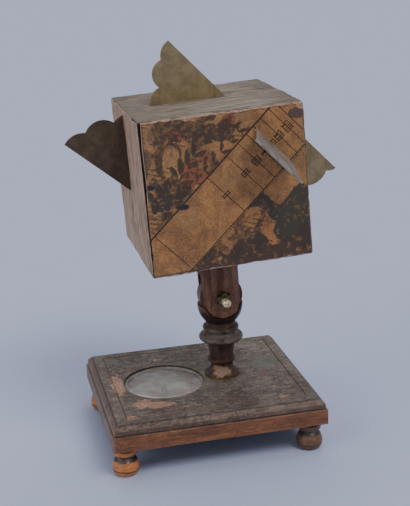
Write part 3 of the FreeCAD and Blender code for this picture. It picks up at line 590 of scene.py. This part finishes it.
def paint_masks(mesh, side, wide, high):
    """Stores the masks at every point while the mesh is still flat."""
    spots = np.array([vertex.co for vertex in mesh.verts])
    x, z = spots[:, 0], spots[:, 1]
    if side == "south":
        brown, red, green = south_scenery(x, z)
        seed = 60
    else:
        seed = 11 if side == "west" else 37
        brown, red, green = scenery(x if side == "west" else -x, z, seed)
    bare, dirt = rubbed(x, z, wide, high, seed)
    drops = ((-34.6, 6.4, 2.2, 1.3), (-20.6, -4.4, 2.7, 1.35)) if side == "west" else ()
    blot = blots(x, z, drops)
    for name, parts in (("picture", (brown, red, green)), ("wear", (bare, dirt, blot))):
        layer = mesh.verts.layers.float_color.new(name)
        for vertex, *values in zip(mesh.verts, *parts):
            vertex[layer] = (*values, 1.0)


def south_scenery(x, z):
    """Sprays in the lower corners and clouds beside the root of the style."""
    ragged = 0.5 * (cloud(x, z, 4.0, 71) - 0.5)
    brown = np.maximum(spray(x, z, (-33, -33), 66, 22, 5, 8), spray(x, z, (33, -33), 114, 22, 5, 8))
    clouds = np.maximum(blob(x, z, (-25, 28), (8, 4), ragged), blob(x, z, (25, 28), (8, 4), ragged))
    hills = soft(-27 + 2.5 * np.sin(0.22 * x) + 5 * ragged - z, -0.5, 1.0)
    return brown, clouds * 0.7, hills


for side in ("west", "east", "south"):
    mesh, lower, wide, high = paper_mesh(side)
    paint_masks(mesh, side, wide, high)
    lay_on_cube(mesh, side)
    finished(mesh, f"printed_{side}_paper", "head", paper, [f"{side}_dial_paper"])

# %% [markdown]
# ## Hour lines and numerals
# The hour lines are printed in thin black ink. At this size a line is a flat strip a few hundredths of a
# millimetre above the paper. Each strip is a grid, cut across every millimetre so that it follows the
# paper over the rounded rim. On a side dial the hours lie parallel, at 17.4 mm times the tangent of the
# hour angle from six o'clock.

# %% Strips of ink
INK = 0.04


def strip(mesh, start, end, width):
    """A flat strip between two points of a face."""
    start, end = Vector(start), Vector(end)
    way = (end - start).to_3d()
    parts = bmesh.ops.create_grid(mesh, x_segments=max(1, int(way.length)), y_segments=1, size=0.5)["verts"]
    size = Matrix.Diagonal((way.length, width, 1, 1))
    turn = Matrix.Rotation(math.atan2(way.y, way.x), 4, "Z")
    middle = Matrix.Translation(((start + end) / 2).to_3d() + Vector((0, 0, PAPER + INK)))
    bmesh.ops.transform(mesh, matrix=middle @ turn @ size, verts=parts)


def numeral(mesh, text, middle, up, right, height=3.5, pen=0.42):
    """A Roman numeral from strips, with a bar along its head and foot."""
    pitch = 1.35
    widths = [pitch * (0.75 if letter == "I" else 1.5) for letter in text]
    cursor = -sum(widths) / 2
    half = up * height / 2
    for letter, width in zip(text, widths):
        low, mid, high = (middle + right * (cursor + width * t) for t in (0.14, 0.5, 0.86))
        if letter == "I":
            strip(mesh, mid - half, mid + half, pen)
        elif letter == "V":
            strip(mesh, mid - half, low + half, pen * 1.2)
            strip(mesh, mid - half, high + half, pen * 0.8)
        else:
            strip(mesh, low - half, high + half, pen * 0.8)
            strip(mesh, high - half, low + half, pen * 1.2)
        cursor += width
    ends = right * (sum(widths) / 2)
    for side_way in (-half, half):
        strip(mesh, middle + side_way - ends, middle + side_way + ends, pen * 0.7)


# %% The side dials
SIX_LINE, STYLE = 28.5, 17.4


def across_hours(s, c):
    """A point of the west dial, given along the band and across it."""
    return Vector((SLOPE_C * s - SLOPE_S * c, SLOPE_S * s + SLOPE_C * c))


def side_dial(side, names):
    mesh = bmesh.new()
    flip = 1 if side == "west" else -1

    def point(s, c):
        place = across_hours(s, c)
        return Vector((place.x * flip, place.y))

    strip(mesh, point(-39.2, BAND_HIGH), point(39.6, BAND_HIGH), 0.75)
    strip(mesh, point(-38.4, BAND_LOW), point(38.2, BAND_LOW), 0.5)
    strip(mesh, point(42.4, -7.0), point(42.4, 8.8), 0.4)
    strip(mesh, point(-33.0, BAND_LOW - 0.9), point(36.8, BAND_LOW - 0.9), 0.18)
    up, right = point(1, 0), point(0, -1)
    if side == "east":
        right = -right
    for name, hour in zip(names, range(1, 9)):
        s = SIX_LINE + STYLE * math.tan(math.radians(15 * (hour - 6)))
        strip(mesh, point(s, BAND_LOW), point(s, BAND_HIGH), 0.32)
        if hour > 1:
            numeral(mesh, name, point(s, -0.6), up, right)
    return mesh


def old_ink():
    finish = Finish("old_ink", 0.7)
    where = finish.place(**CUBE)
    rub = finish.spots(where, 1.1, 4, 0.7)
    tone = finish.mix(finish.spots(where, 4), shade(30, 24, 20), shade(52, 38, 28))
    finish.ground(finish.mix(finish.step(rub, 0.56, 0.7), tone, shade(112, 82, 54)))
    finish.bump(rub, 0.03)
    return finish


ink = old_ink()
AFTERNOON = ("I", "II", "III", "IIII", "V", "VI", "VII", "VIII")
MORNING = ("XI", "X", "IX", "VIII", "VII", "VI", "V", "IIII")
for side, names in (("west", AFTERNOON), ("east", MORNING)):
    mesh = side_dial(side, names)
    lay_on_cube(mesh, side)
    finished(mesh, f"{side}_hour_lines", "head", ink, smooth=False)

# %% [markdown]
# The south dial is upright, so its hour lines fan out from the root of the style. The angle of each line
# from the vertical has the tangent cos(latitude) times the tangent of the hour angle. Its numerals stand
# along the frame.

# %% The south dial
def south_dial(latitude=48.5):
    mesh = bmesh.new()
    root = Vector((0, 22.3))
    wide, low = 29.0, -24.0
    corners = [Vector((-wide, low)), Vector((wide, low)), Vector((wide, root.y)), Vector((-wide, root.y))]
    for k in range(4):
        strip(mesh, corners[k - 1], corners[k], 0.4)
    names = ("VII", "VIII", "IX", "X", "XI", "XII", "I", "II", "III", "IIII", "V")
    for name, hour in zip(names, range(-5, 6)):
        angle = math.atan(math.cos(math.radians(latitude)) * math.tan(math.radians(15 * hour)))
        way = Vector((math.sin(angle), -math.cos(angle)))
        far = min(wide / max(abs(way.x), 1e-6), (root.y - low) / max(-way.y, 1e-6))
        strip(mesh, root + way * 7, root + way * (far - 5.5), 0.32)
        numeral(mesh, name, root + way * (far - 3.0), Vector((0, 1)), Vector((1, 0)), height=3.0)
    return mesh


mesh = south_dial()
lay_on_cube(mesh, "south")
finished(mesh, "south_hour_lines", "head", ink, smooth=False)

# %% [markdown]
# ## Brass gnomons, bolt and nut
# The gnomons were sawn from brass sheet and have gone dull and olive. Old brass is a metal under a thin
# layer of tarnish: a rough, darker coat with small scratches and a few brighter rubbed places along the
# edges. The top gnomon also has a line scribed across it near its root.

# %% Finish: dull brass
def dull_brass(name, base, dark, bright, metal, rough=0.42, scribed=False):
    finish = Finish(name, rough, Metallic=metal)
    where = finish.place(**CUBE)
    mottle = finish.spots(where, 6, 5, 0.65, 0.5)
    fine = finish.spots(where, 0.7, 4, 0.7)
    scratch = finish.spots(finish.place(**CUBE, stretch=(9, 9, 0.5)), 0.6, 3, 0.6)
    finish.ground(finish.mix(finish.step(mottle, 0.35, 0.66), base, dark))
    finish.glaze(finish.step(fine, 0.5, 0.75), dark, 0.4)
    finish.glaze(finish.step(scratch, 0.6, 0.7), bright, 0.3)
    worn_edge = finish.edges(0.35, fine, 0.05, 0.6)
    finish.glaze(worn_edge, bright, 0.7)
    if scribed:
        away = finish.calc("ABSOLUTE", finish.calc("SUBTRACT", finish.axis(where, "X"), 6.1))
        finish.glaze(finish.step(away, 0.3, 0.1), shade(84, 72, 50), 0.6)
    gloss = finish.calc("MULTIPLY_ADD", finish.step(mottle, 0.2, 0.8), 0.22, rough - 0.08)
    finish.feed(finish.shader.inputs["Roughness"], gloss)
    finish.bump(finish.calc("ADD", fine, scratch), 0.03, rounding=0.15)
    return finish


OLIVE = (shade(150, 134, 100), shade(124, 110, 82), shade(190, 174, 130), 0.4)
BRASS = (
    ("gnomon_brass", OLIVE, {}, ("south_gnomon", "east_gnomon")),
    ("scribed_brass", OLIVE, {"scribed": True}, ("top_gnomon",)),
    # Painted shade: the north gnomon gets a darker copy of the brass, for the shade it stands in.
    ("north_brass_painted_shade", (shade(88, 72, 54), shade(68, 55, 42), shade(116, 98, 70), 0.4), {}, ("north_gnomon",)),
    # Painted light: the west gnomon gets a pale, silvery copy of the brass, for the light its lit side
    # reflects.
    ("side_plate_brass_painted_light", (shade(150, 143, 138), shade(110, 102, 95), shade(214, 207, 196), 0.3), {},
     ("west_gnomon",)),
    ("fitting_brass", (shade(96, 84, 56), shade(54, 46, 30), shade(206, 190, 150), 0.5), {"rough": 0.34},
     ("front_washer", "rear_washer", "thumb_nut", "compass_pivot", "needle_cap")),
    # The bolt is painted near white: partly its polished brass, partly a painted highlight on its end.
    ("bolt_brass_and_painted_highlight", (shade(250, 232, 192), shade(210, 190, 148), shade(252, 244, 220), 0.3), {"rough": 0.22},
     ("knuckle_bolt",)),
)
for name, tones, settings, pieces in BRASS:
    dull_brass(name, *tones, **settings).wear_on(*[nodes[piece] for piece in pieces])
    print(name, "on", len(pieces), "pieces")

# %% [markdown]
# ## Lacquered pillar and fork
# The fork and pillar are turned wood under a dark reddish lacquer. It is thin on the fork, where the
# grain shows in upright streaks, and almost black on the pillar, which has a chip at its foot. The
# pillar's lacquer is smoother and shines more; both reflect a little amber, and the bare wood in the chip
# is dull.

# %% Finish: lacquered wood
TURNING = {"middle": (0.0052, 0, 0)}
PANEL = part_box("pillar")[0].z / MM + 8.0


def lacquer(name, light, dark, rough, depth, chips=False):
    finish = Finish(name, rough, Specular_IOR_Level=0.2, Specular_Tint=(1.0, 0.8, 0.68, 1))
    where = finish.place(**TURNING)
    streaks = finish.spots(finish.place(**TURNING, stretch=(1, 1, 10)), 3.6, 6, 0.62, 0.3)
    mottle = finish.spots(where, 5, 5, 0.65)
    fine = finish.spots(where, 0.7, 3, 0.7)
    finish.ground(finish.mix(finish.step(streaks, 0.3, 0.75), dark, light))
    finish.glaze(finish.step(mottle, 0.5, 0.75), dark, 0.6)
    crackle = finish.cracks(finish.place(**TURNING, stretch=(1, 1, 3)), 2.4, 0.025)
    finish.glaze(crackle, shade(20, 14, 12), 0.6)
    worn_edge = finish.edges(0.5, fine, 0.08, 0.7)
    finish.glaze(worn_edge, shade(120, 84, 62), 0.45)
    if chips:
        height = finish.axis(where, "Z")
        rings = finish.band(height, PANEL + 19.2, PANEL + 20.5, PANEL + 24, PANEL + 28)
        # Grey on the rings: partly dust, partly a painted sheen of light on their upper surfaces.
        dust_and_sheen = finish.both(rings, finish.step(mottle, 0.4, 0.56))
        finish.glaze(dust_and_sheen, shade(108, 102, 98), 0.6)
        # Painted shade: the cup under the fork's cheeks is darkened, where the fork shades it.
        cup_shade = finish.band(height, PANEL + 27, PANEL + 30, PANEL + 33, PANEL + 38)
        finish.glaze(cup_shade, shade(34, 25, 22), 0.7)
        tongue = finish.step(height, PANEL + 34, PANEL + 37)
        finish.glaze(tongue, shade(112, 78, 62), 0.7)
        away = finish.length(finish.place((0.0026, -0.0075, (PANEL + 4.1) * MM), stretch=(6.2, 5.0, 2.9)))
        ragged = finish.calc("MULTIPLY", finish.spots(where, 2.2, 4, 0.6), 2.2)
        chip = finish.step(finish.calc("ADD", away, ragged), 2.1, 2.04)
        rim = finish.both(finish.step(height, PANEL + 1.2, PANEL + 0.5), finish.step(fine, 0.4, 0.55))
        finish.glaze(rim, shade(120, 88, 54), 0.7)
        finish.glaze(chip, finish.mix(fine, shade(142, 118, 104), shade(114, 90, 78)))
        dull = finish.calc("MAXIMUM", chip, finish.calc("MULTIPLY", mottle, 0.5))
        finish.feed(finish.shader.inputs["Roughness"], finish.calc("MULTIPLY_ADD", dull, 0.45, rough))
    finish.bump(finish.calc("ADD", streaks, finish.calc("MULTIPLY", mottle, 1.5)), depth, rounding=0.25)
    return finish


pillar_lacquer = lacquer("pillar_lacquer", shade(86, 66, 59), shade(49, 39, 36), 0.26, 0.6, chips=True)
pillar_lacquer.wear_on(nodes["pillar"])
fork_lacquer = lacquer("fork_lacquer", shade(152, 113, 92), shade(92, 65, 53), 0.6, 0.1)
fork_lacquer.wear_on(nodes["knuckle_fork"])
print("top of the base at", round(PANEL, 2), "mm")

# %% [markdown]
# ## Painted base
# The base is painted dark over a pale pinkish ground. Streaks run along the board, green and reddish
# stains lie in patches, and where the paint has flaked off the ground shows. Each flake is a small
# ellipse around a chosen place; its distance is disturbed by noise, which makes the rim ragged. The front
# edge shows orange-brown wood instead.

# %% Finish: painted base
FLAKES = (
    (-47.4, 2.0, 3.0, 12.5), (-39.5, -23.8, 5.0, 4.4), (-33.0, -26.6, 6.0, 3.8), (-22.9, 26.5, 2.6, 1.6),
    (26.7, -35.1, 2.8, 1.6), (-47.0, -36.5, 3.0, 2.0), (-18.0, -32.0, 4.6, 0.7), (-27.0, -27.0, 3.0, 2.2),
)
STAINS = ((30, 8, 7, shade(86, 98, 92)), (23.6, -8.4, 2.2, shade(104, 60, 52)))
LEDGE = PANEL - 4.7


def painted_base():
    finish = Finish("painted_base", 0.6, Coat_Weight=0.1, Coat_Roughness=0.4)
    where = finish.place()
    streaks = finish.spots(finish.place(stretch=(6, 1, 3)), 1.1, 6, 0.75, 0.6)
    mottle = finish.spots(where, 6, 6, 0.7, 0.8)
    fine = finish.spots(where, 0.8, 4, 0.72)
    patches = finish.spots(where, 19, 4, 0.6)
    dark_specks = finish.spots(finish.place(stretch=(2, 1, 1)), 1.0, 4, 0.75)
    finish.ground(finish.mix(finish.step(streaks, 0.32, 0.68), shade(80, 71, 67), shade(134, 122, 115)))
    tone = finish.spots(finish.place(stretch=(1.8, 1, 1)), 13, 4, 0.6, 0.8)
    finish.glaze(finish.step(tone, 0.44, 0.6), shade(62, 52, 46), 0.5)
    finish.glaze(finish.step(mottle, 0.42, 0.66), shade(52, 44, 40), 0.45)
    finish.glaze(finish.step(fine, 0.48, 0.62), shade(150, 137, 127), 0.5)
    finish.glaze(finish.step(dark_specks, 0.5, 0.62), shade(42, 35, 32), 0.55)
    long_cracks = finish.cracks(finish.place(stretch=(4, 1, 1)), 2.2, 0.018)
    crackle = finish.calc("MAXIMUM", finish.cracks(where, 4.5, 0.022), long_cracks)
    crackle = finish.both(crackle, finish.step(patches, 0.3, 0.55))
    finish.glaze(crackle, shade(34, 28, 26), 0.7)
    red = finish.both(finish.step(patches, 0.55, 0.68), finish.step(fine, 0.4, 0.6))
    finish.glaze(red, shade(104, 68, 54), 0.6)
    green = finish.both(finish.step(patches, 0.42, 0.32), finish.step(mottle, 0.4, 0.55))
    finish.glaze(green, shade(82, 94, 84), 0.6)
    for x, y, wide, tint in STAINS:
        away = finish.length(finish.place((x * MM, y * MM, PANEL * MM), stretch=(wide, wide, wide)))
        finish.glaze(finish.step(finish.calc("ADD", away, mottle), 1.6, 1.2), tint, 0.6)
    height, depth, length = (finish.axis(where, name) for name in "ZYX")
    below = finish.step(height, LEDGE + 0.1, LEDGE - 0.3)
    front = finish.both(below, finish.step(depth, -44.6, -45.1))
    long_grain = finish.spots(finish.place(stretch=(16, 1, 1.5)), 1.4, 5, 0.65, 0.3)
    wood = finish.mix(finish.step(long_grain, 0.32, 0.68), shade(106, 65, 40), shade(142, 90, 55))
    wood = finish.mix(finish.calc("MULTIPLY", finish.step(mottle, 0.48, 0.7), 0.45), wood, shade(74, 50, 40))
    finish.glaze(front, wood)
    rim = finish.both(finish.step(height, PANEL - 0.1, PANEL - 0.5), finish.calc("SUBTRACT", 1.0, below))
    finish.glaze(rim, shade(98, 72, 58), 0.6)
    seam = finish.band(height, PANEL - 1.0, PANEL - 0.6, PANEL - 0.2, PANEL - 0.05)
    finish.glaze(seam, shade(36, 28, 25), 0.75)
    # Painted light: the left end of the base, below the panel, is painted lighter, as if lit more strongly
    # from that side.
    side = finish.both(finish.step(height, PANEL - 0.2, PANEL - 0.6), finish.step(length, -56.0, -57.0))
    finish.glaze(side, shade(132, 114, 106), 0.7)
    ragged = finish.calc("MULTIPLY", finish.calc("SUBTRACT", finish.spots(where, 3.0, 5, 0.65), 0.5), 2.4)
    nearest = None
    for x, y, wide, deep in FLAKES:
        away = finish.length(finish.place((x * MM, y * MM, PANEL * MM), stretch=(wide, deep, 6)))
        nearest = away if nearest is None else finish.calc("MINIMUM", nearest, away)
    flake = finish.step(finish.calc("ADD", nearest, ragged), 1.04, 0.96)
    crumbs = finish.calc("MULTIPLY", finish.step(finish.spots(where, 2.4, 5, 0.7), 0.69, 0.71), 0.8)
    flake = finish.calc("MAXIMUM", flake, crumbs)
    ground = finish.mix(finish.step(fine, 0.35, 0.7), shade(176, 138, 120), shade(134, 100, 84))
    finish.glaze(flake, ground, 0.95)
    # Paler edges: partly rubbed paint, partly painted highlight lines along the moulding.
    worn_edge = finish.edges(0.9, fine, 0.04, 0.45)
    finish.glaze(worn_edge, shade(156, 122, 98), 0.65)
    relief = finish.calc("ADD", streaks, finish.calc("MULTIPLY", mottle, 0.8))
    relief = finish.calc("SUBTRACT", relief, finish.calc("MULTIPLY", crackle, 0.5))
    relief = finish.calc("SUBTRACT", relief, finish.calc("MULTIPLY", flake, 1.2))
    finish.bump(relief, 0.3, rounding=0.5)
    return finish


painted_base().wear_on(nodes["base_plinth"])

# %% [markdown]
# ## Ball feet
# Each foot is turned from pale orange wood. Its collar is nearly bare, the top of the ball keeps black
# paint, and a thin dark groove runs low round the ball. All this follows the height over the ground, with
# noise to make the borders uneven.

# %% Finish: feet
def foot_paint():
    finish = Finish("foot_paint", 0.5, Coat_Weight=0.2, Coat_Roughness=0.3)
    where = finish.place()
    rings = finish.spots(finish.place(stretch=(3, 3, 0.6)), 1.2, 4, 0.65)
    mottle = finish.spots(where, 3.2, 5, 0.7)
    fine = finish.spots(where, 0.6, 3, 0.7)
    height = finish.calc("ADD", finish.axis(where, "Z"), finish.calc("MULTIPLY", mottle, 1.8))
    finish.ground(finish.mix(finish.step(rings, 0.35, 0.7), shade(202, 128, 64), shade(140, 85, 45)))
    paint = finish.band(height, 7.6, 8.5, 11.0, 11.6)
    finish.glaze(paint, shade(34, 30, 30), 0.93)
    pale = finish.both(paint, finish.step(finish.spots(where, 4.6, 4, 0.6), 0.58, 0.64))
    finish.glaze(pale, shade(150, 142, 134), 0.7)
    groove = finish.band(height, 3.2, 3.6, 4.0, 4.4)
    finish.glaze(groove, shade(58, 40, 32), 0.85)
    right = finish.step(finish.axis(where, "X"), 0, 5)
    dark = finish.both(right, finish.step(mottle, 0.3, 0.44))
    finish.glaze(dark, shade(58, 48, 42), 0.8)
    finish.glaze(finish.step(fine, 0.55, 0.7), shade(92, 66, 48), 0.4)
    worn_edge = finish.edges(0.4, fine, 0.08, 0.6)
    finish.glaze(worn_edge, shade(190, 148, 104), 0.4)
    finish.bump(finish.calc("ADD", rings, mottle), 0.12, rounding=0.3)
    return finish


foot_paint().wear_on(*[thing for name, thing in nodes.items() if name.startswith("foot_")])

# %% [markdown]
# ## Compass
# Under the glass lies a printed card with a rose of eight points and a ring of degrees. Its pattern is
# worked out from the angle and the distance of each point round the middle of the card. The needle is
# blued steel. The glass has turned milky with a ground rim, so it is partly see-through: pale where it is
# ground, clearer in the middle. Its pale colour is also a painted reflection of the bright room, strongest
# at the rim.

# %% Finish: compass card
card_low, card_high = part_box("compass_card")
CARD = {"middle": (*((card_low + card_high) / 2)[:2], 0)}


def compass_print():
    finish = Finish("compass_print", 0.75)
    where = finish.place(**CARD)
    angle = finish.calc("ARCTAN2", finish.axis(where, "Y"), finish.axis(where, "X"))
    away = finish.from_axis(where)
    turns = finish.calc("DIVIDE", angle, 2 * math.pi)
    wave = finish.calc("FRACT", finish.calc("MULTIPLY", turns, 8))
    point = finish.calc("ABSOLUTE", finish.calc("SUBTRACT", wave, 0.5))
    star = finish.calc("ADD", away, finish.calc("MULTIPLY", finish.calc("SUBTRACT", 0.5, point), 19.0))
    rose = finish.step(star, 11.6, 11.0)
    half = finish.step(wave, 0.49, 0.51)
    stain = finish.spots(where, 7, 4, 0.6)
    fine = finish.spots(where, 0.6, 3, 0.7)
    finish.ground(finish.mix(finish.step(stain, 0.35, 0.7), shade(204, 200, 192), shade(152, 136, 130)))
    finish.glaze(rose, shade(116, 112, 106), 0.5)
    finish.glaze(finish.both(rose, half), shade(76, 80, 86), 0.5)
    tick = finish.step(finish.calc("FRACT", finish.calc("MULTIPLY", turns, 36)), 0.16, 0.1)
    ring = finish.band(away, 14.4, 14.7, 16.6, 16.9)
    circles = finish.calc("PINGPONG", finish.calc("SUBTRACT", away, 14.5), 1.1)
    rims = finish.both(ring, finish.step(circles, 0.2, 0.1))
    marks = finish.calc("MAXIMUM", finish.both(ring, tick), rims)
    finish.glaze(marks, shade(60, 56, 52), 0.8)
    finish.glaze(finish.step(fine, 0.55, 0.75), shade(110, 98, 80), 0.35)
    finish.bump(fine, 0.05)
    return finish


compass_print().wear_on(nodes["compass_card"])

# %% Finish: blued needle and compass glass
def blued_steel():
    finish = Finish("blued_steel", 0.4, Metallic=0.3)
    where = finish.place(**CARD)
    mottle = finish.spots(where, 2.5, 4, 0.6)
    finish.ground(finish.mix(finish.step(mottle, 0.35, 0.65), shade(16, 24, 40), shade(34, 42, 56)))
    worn_edge = finish.edges(0.3, mottle, 0.1, 0.6)
    finish.glaze(worn_edge, shade(140, 144, 150), 0.5)
    finish.bump(mottle, 0.03)
    return finish


def milky_glass_and_reflection():
    finish = Finish("milky_glass_and_reflection", 0.12, Coat_Weight=0.6, Coat_Roughness=0.04)
    where = finish.place(**CARD)
    away = finish.from_axis(where)
    haze = finish.spots(where, 8, 4, 0.6, 0.5)
    scratch = finish.spots(finish.place(**CARD, turn=(0, 0, 0.6), stretch=(0.4, 12, 1)), 0.9, 3, 0.6)
    rim = finish.step(away, 18.0, 18.3)
    # The pale colour is partly milky haze and partly a painted reflection of the bright room; the rim is paler
    # still, ground glass with more painted reflection.
    finish.ground(finish.mix(finish.step(haze, 0.35, 0.7), shade(164, 150, 148), shade(164, 173, 174)))
    finish.glaze(rim, shade(160, 164, 158), 0.6)
    cover = finish.calc("MULTIPLY_ADD", finish.step(haze, 0.3, 0.7), 0.26, 0.26)
    cover = finish.calc("ADD", cover, finish.calc("MULTIPLY", finish.step(scratch, 0.6, 0.7), 0.12))
    cover = finish.calc("MINIMUM", finish.calc("ADD", cover, finish.calc("MULTIPLY", rim, 0.2)), 1.0)
    finish.feed(finish.shader.inputs["Alpha"], cover)
    finish.bump(scratch, 0.02, rounding=0.1)
    return finish


blued_steel().wear_on(nodes["compass_needle"])
milky_glass_and_reflection().wear_on(nodes["compass_glass"])
print("compass finished")

# %% [markdown]
# ## Floor, light and camera
# A pale floor runs far behind the object, so it fills the whole picture. Three broad suns stand for the
# softboxes of a studio: one from the upper right, one overhead, a weaker one from the left. The world
# fills the shadows. The camera stands a little to the left of the west dial, looks down on it and is
# rolled by two degrees.

# %% Floor and light
def studio_floor():
    mesh = bmesh.new()
    bmesh.ops.create_grid(mesh, x_segments=4, y_segments=4, size=9)
    data = bpy.data.meshes.new("studio_floor")
    mesh.to_mesh(data)
    mesh.free()
    floor = bpy.data.objects.new("studio_floor", data)
    bpy.context.scene.collection.objects.link(floor)
    finish = Finish("studio_floor", 0.9, Specular_IOR_Level=0.1)
    cloth = finish.spots(finish.place(), 40, 3, 0.5)
    finish.ground(finish.mix(cloth, (0.375, 0.425, 0.60, 1), (0.40, 0.45, 0.635, 1)))
    finish.bump(finish.spots(finish.place(), 1.2, 3, 0.6), 0.05)
    finish.wear_on(floor)


def sun(name, toward, strength, spread, colour):
    data = bpy.data.lights.new(name, "SUN")
    data.energy, data.angle, data.color = strength, math.radians(spread), colour
    light = bpy.data.objects.new(name, data)
    light.rotation_euler = Vector(toward).to_track_quat("Z", "Y").to_euler()
    bpy.context.scene.collection.objects.link(light)


studio_floor()
SUNS = {
    "key_light": ((0.28, -0.54, 0.80), 1.7, 26, (1.0, 0.97, 0.93)),
    "overhead_light": ((0.06, 0.36, 1.0), 1.1, 55, (0.98, 0.98, 1.0)),
    "left_light": ((-0.85, -0.32, 0.45), 1.0, 50, (1.0, 0.98, 0.96)),
}
for name, settings in SUNS.items():
    sun(name, *settings)
world = bpy.data.worlds.new("studio")
bpy.context.scene.world = world
world.use_nodes = True
background = world.node_tree.nodes["Background"]
background.inputs["Color"].default_value = (0.68, 0.66, 0.66, 1)
background.inputs["Strength"].default_value = 0.5

# %% Camera
def aim(eye, target, roll):
    """A camera matrix that looks from eye to target and is rolled by some degrees."""
    forward = (target - eye).normalized()
    right = forward.cross(Vector((0, 0, 1))).normalized()
    up = right.cross(forward)
    c, s = math.cos(math.radians(roll)), math.sin(math.radians(roll))
    matrix = Matrix((right * c + up * s, up * c - right * s, -forward)).transposed().to_4x4()
    matrix.translation = eye
    return matrix


EYE, TARGET, ROLL = Vector((-113.30, -492.14, 250.27)), Vector((-1.40, 0, 91.24)), -2.03
FOCAL_LENGTH, FILM_HEIGHT = 78.015, 36

lens = bpy.data.cameras.new("photo_camera")
lens.sensor_fit, lens.sensor_height, lens.lens = "VERTICAL", FILM_HEIGHT, FOCAL_LENGTH
camera = bpy.data.objects.new("photo_camera", lens)
bpy.context.scene.collection.objects.link(camera)
camera.matrix_world = aim(EYE * MM, TARGET * MM, ROLL)
bpy.context.scene.camera = camera
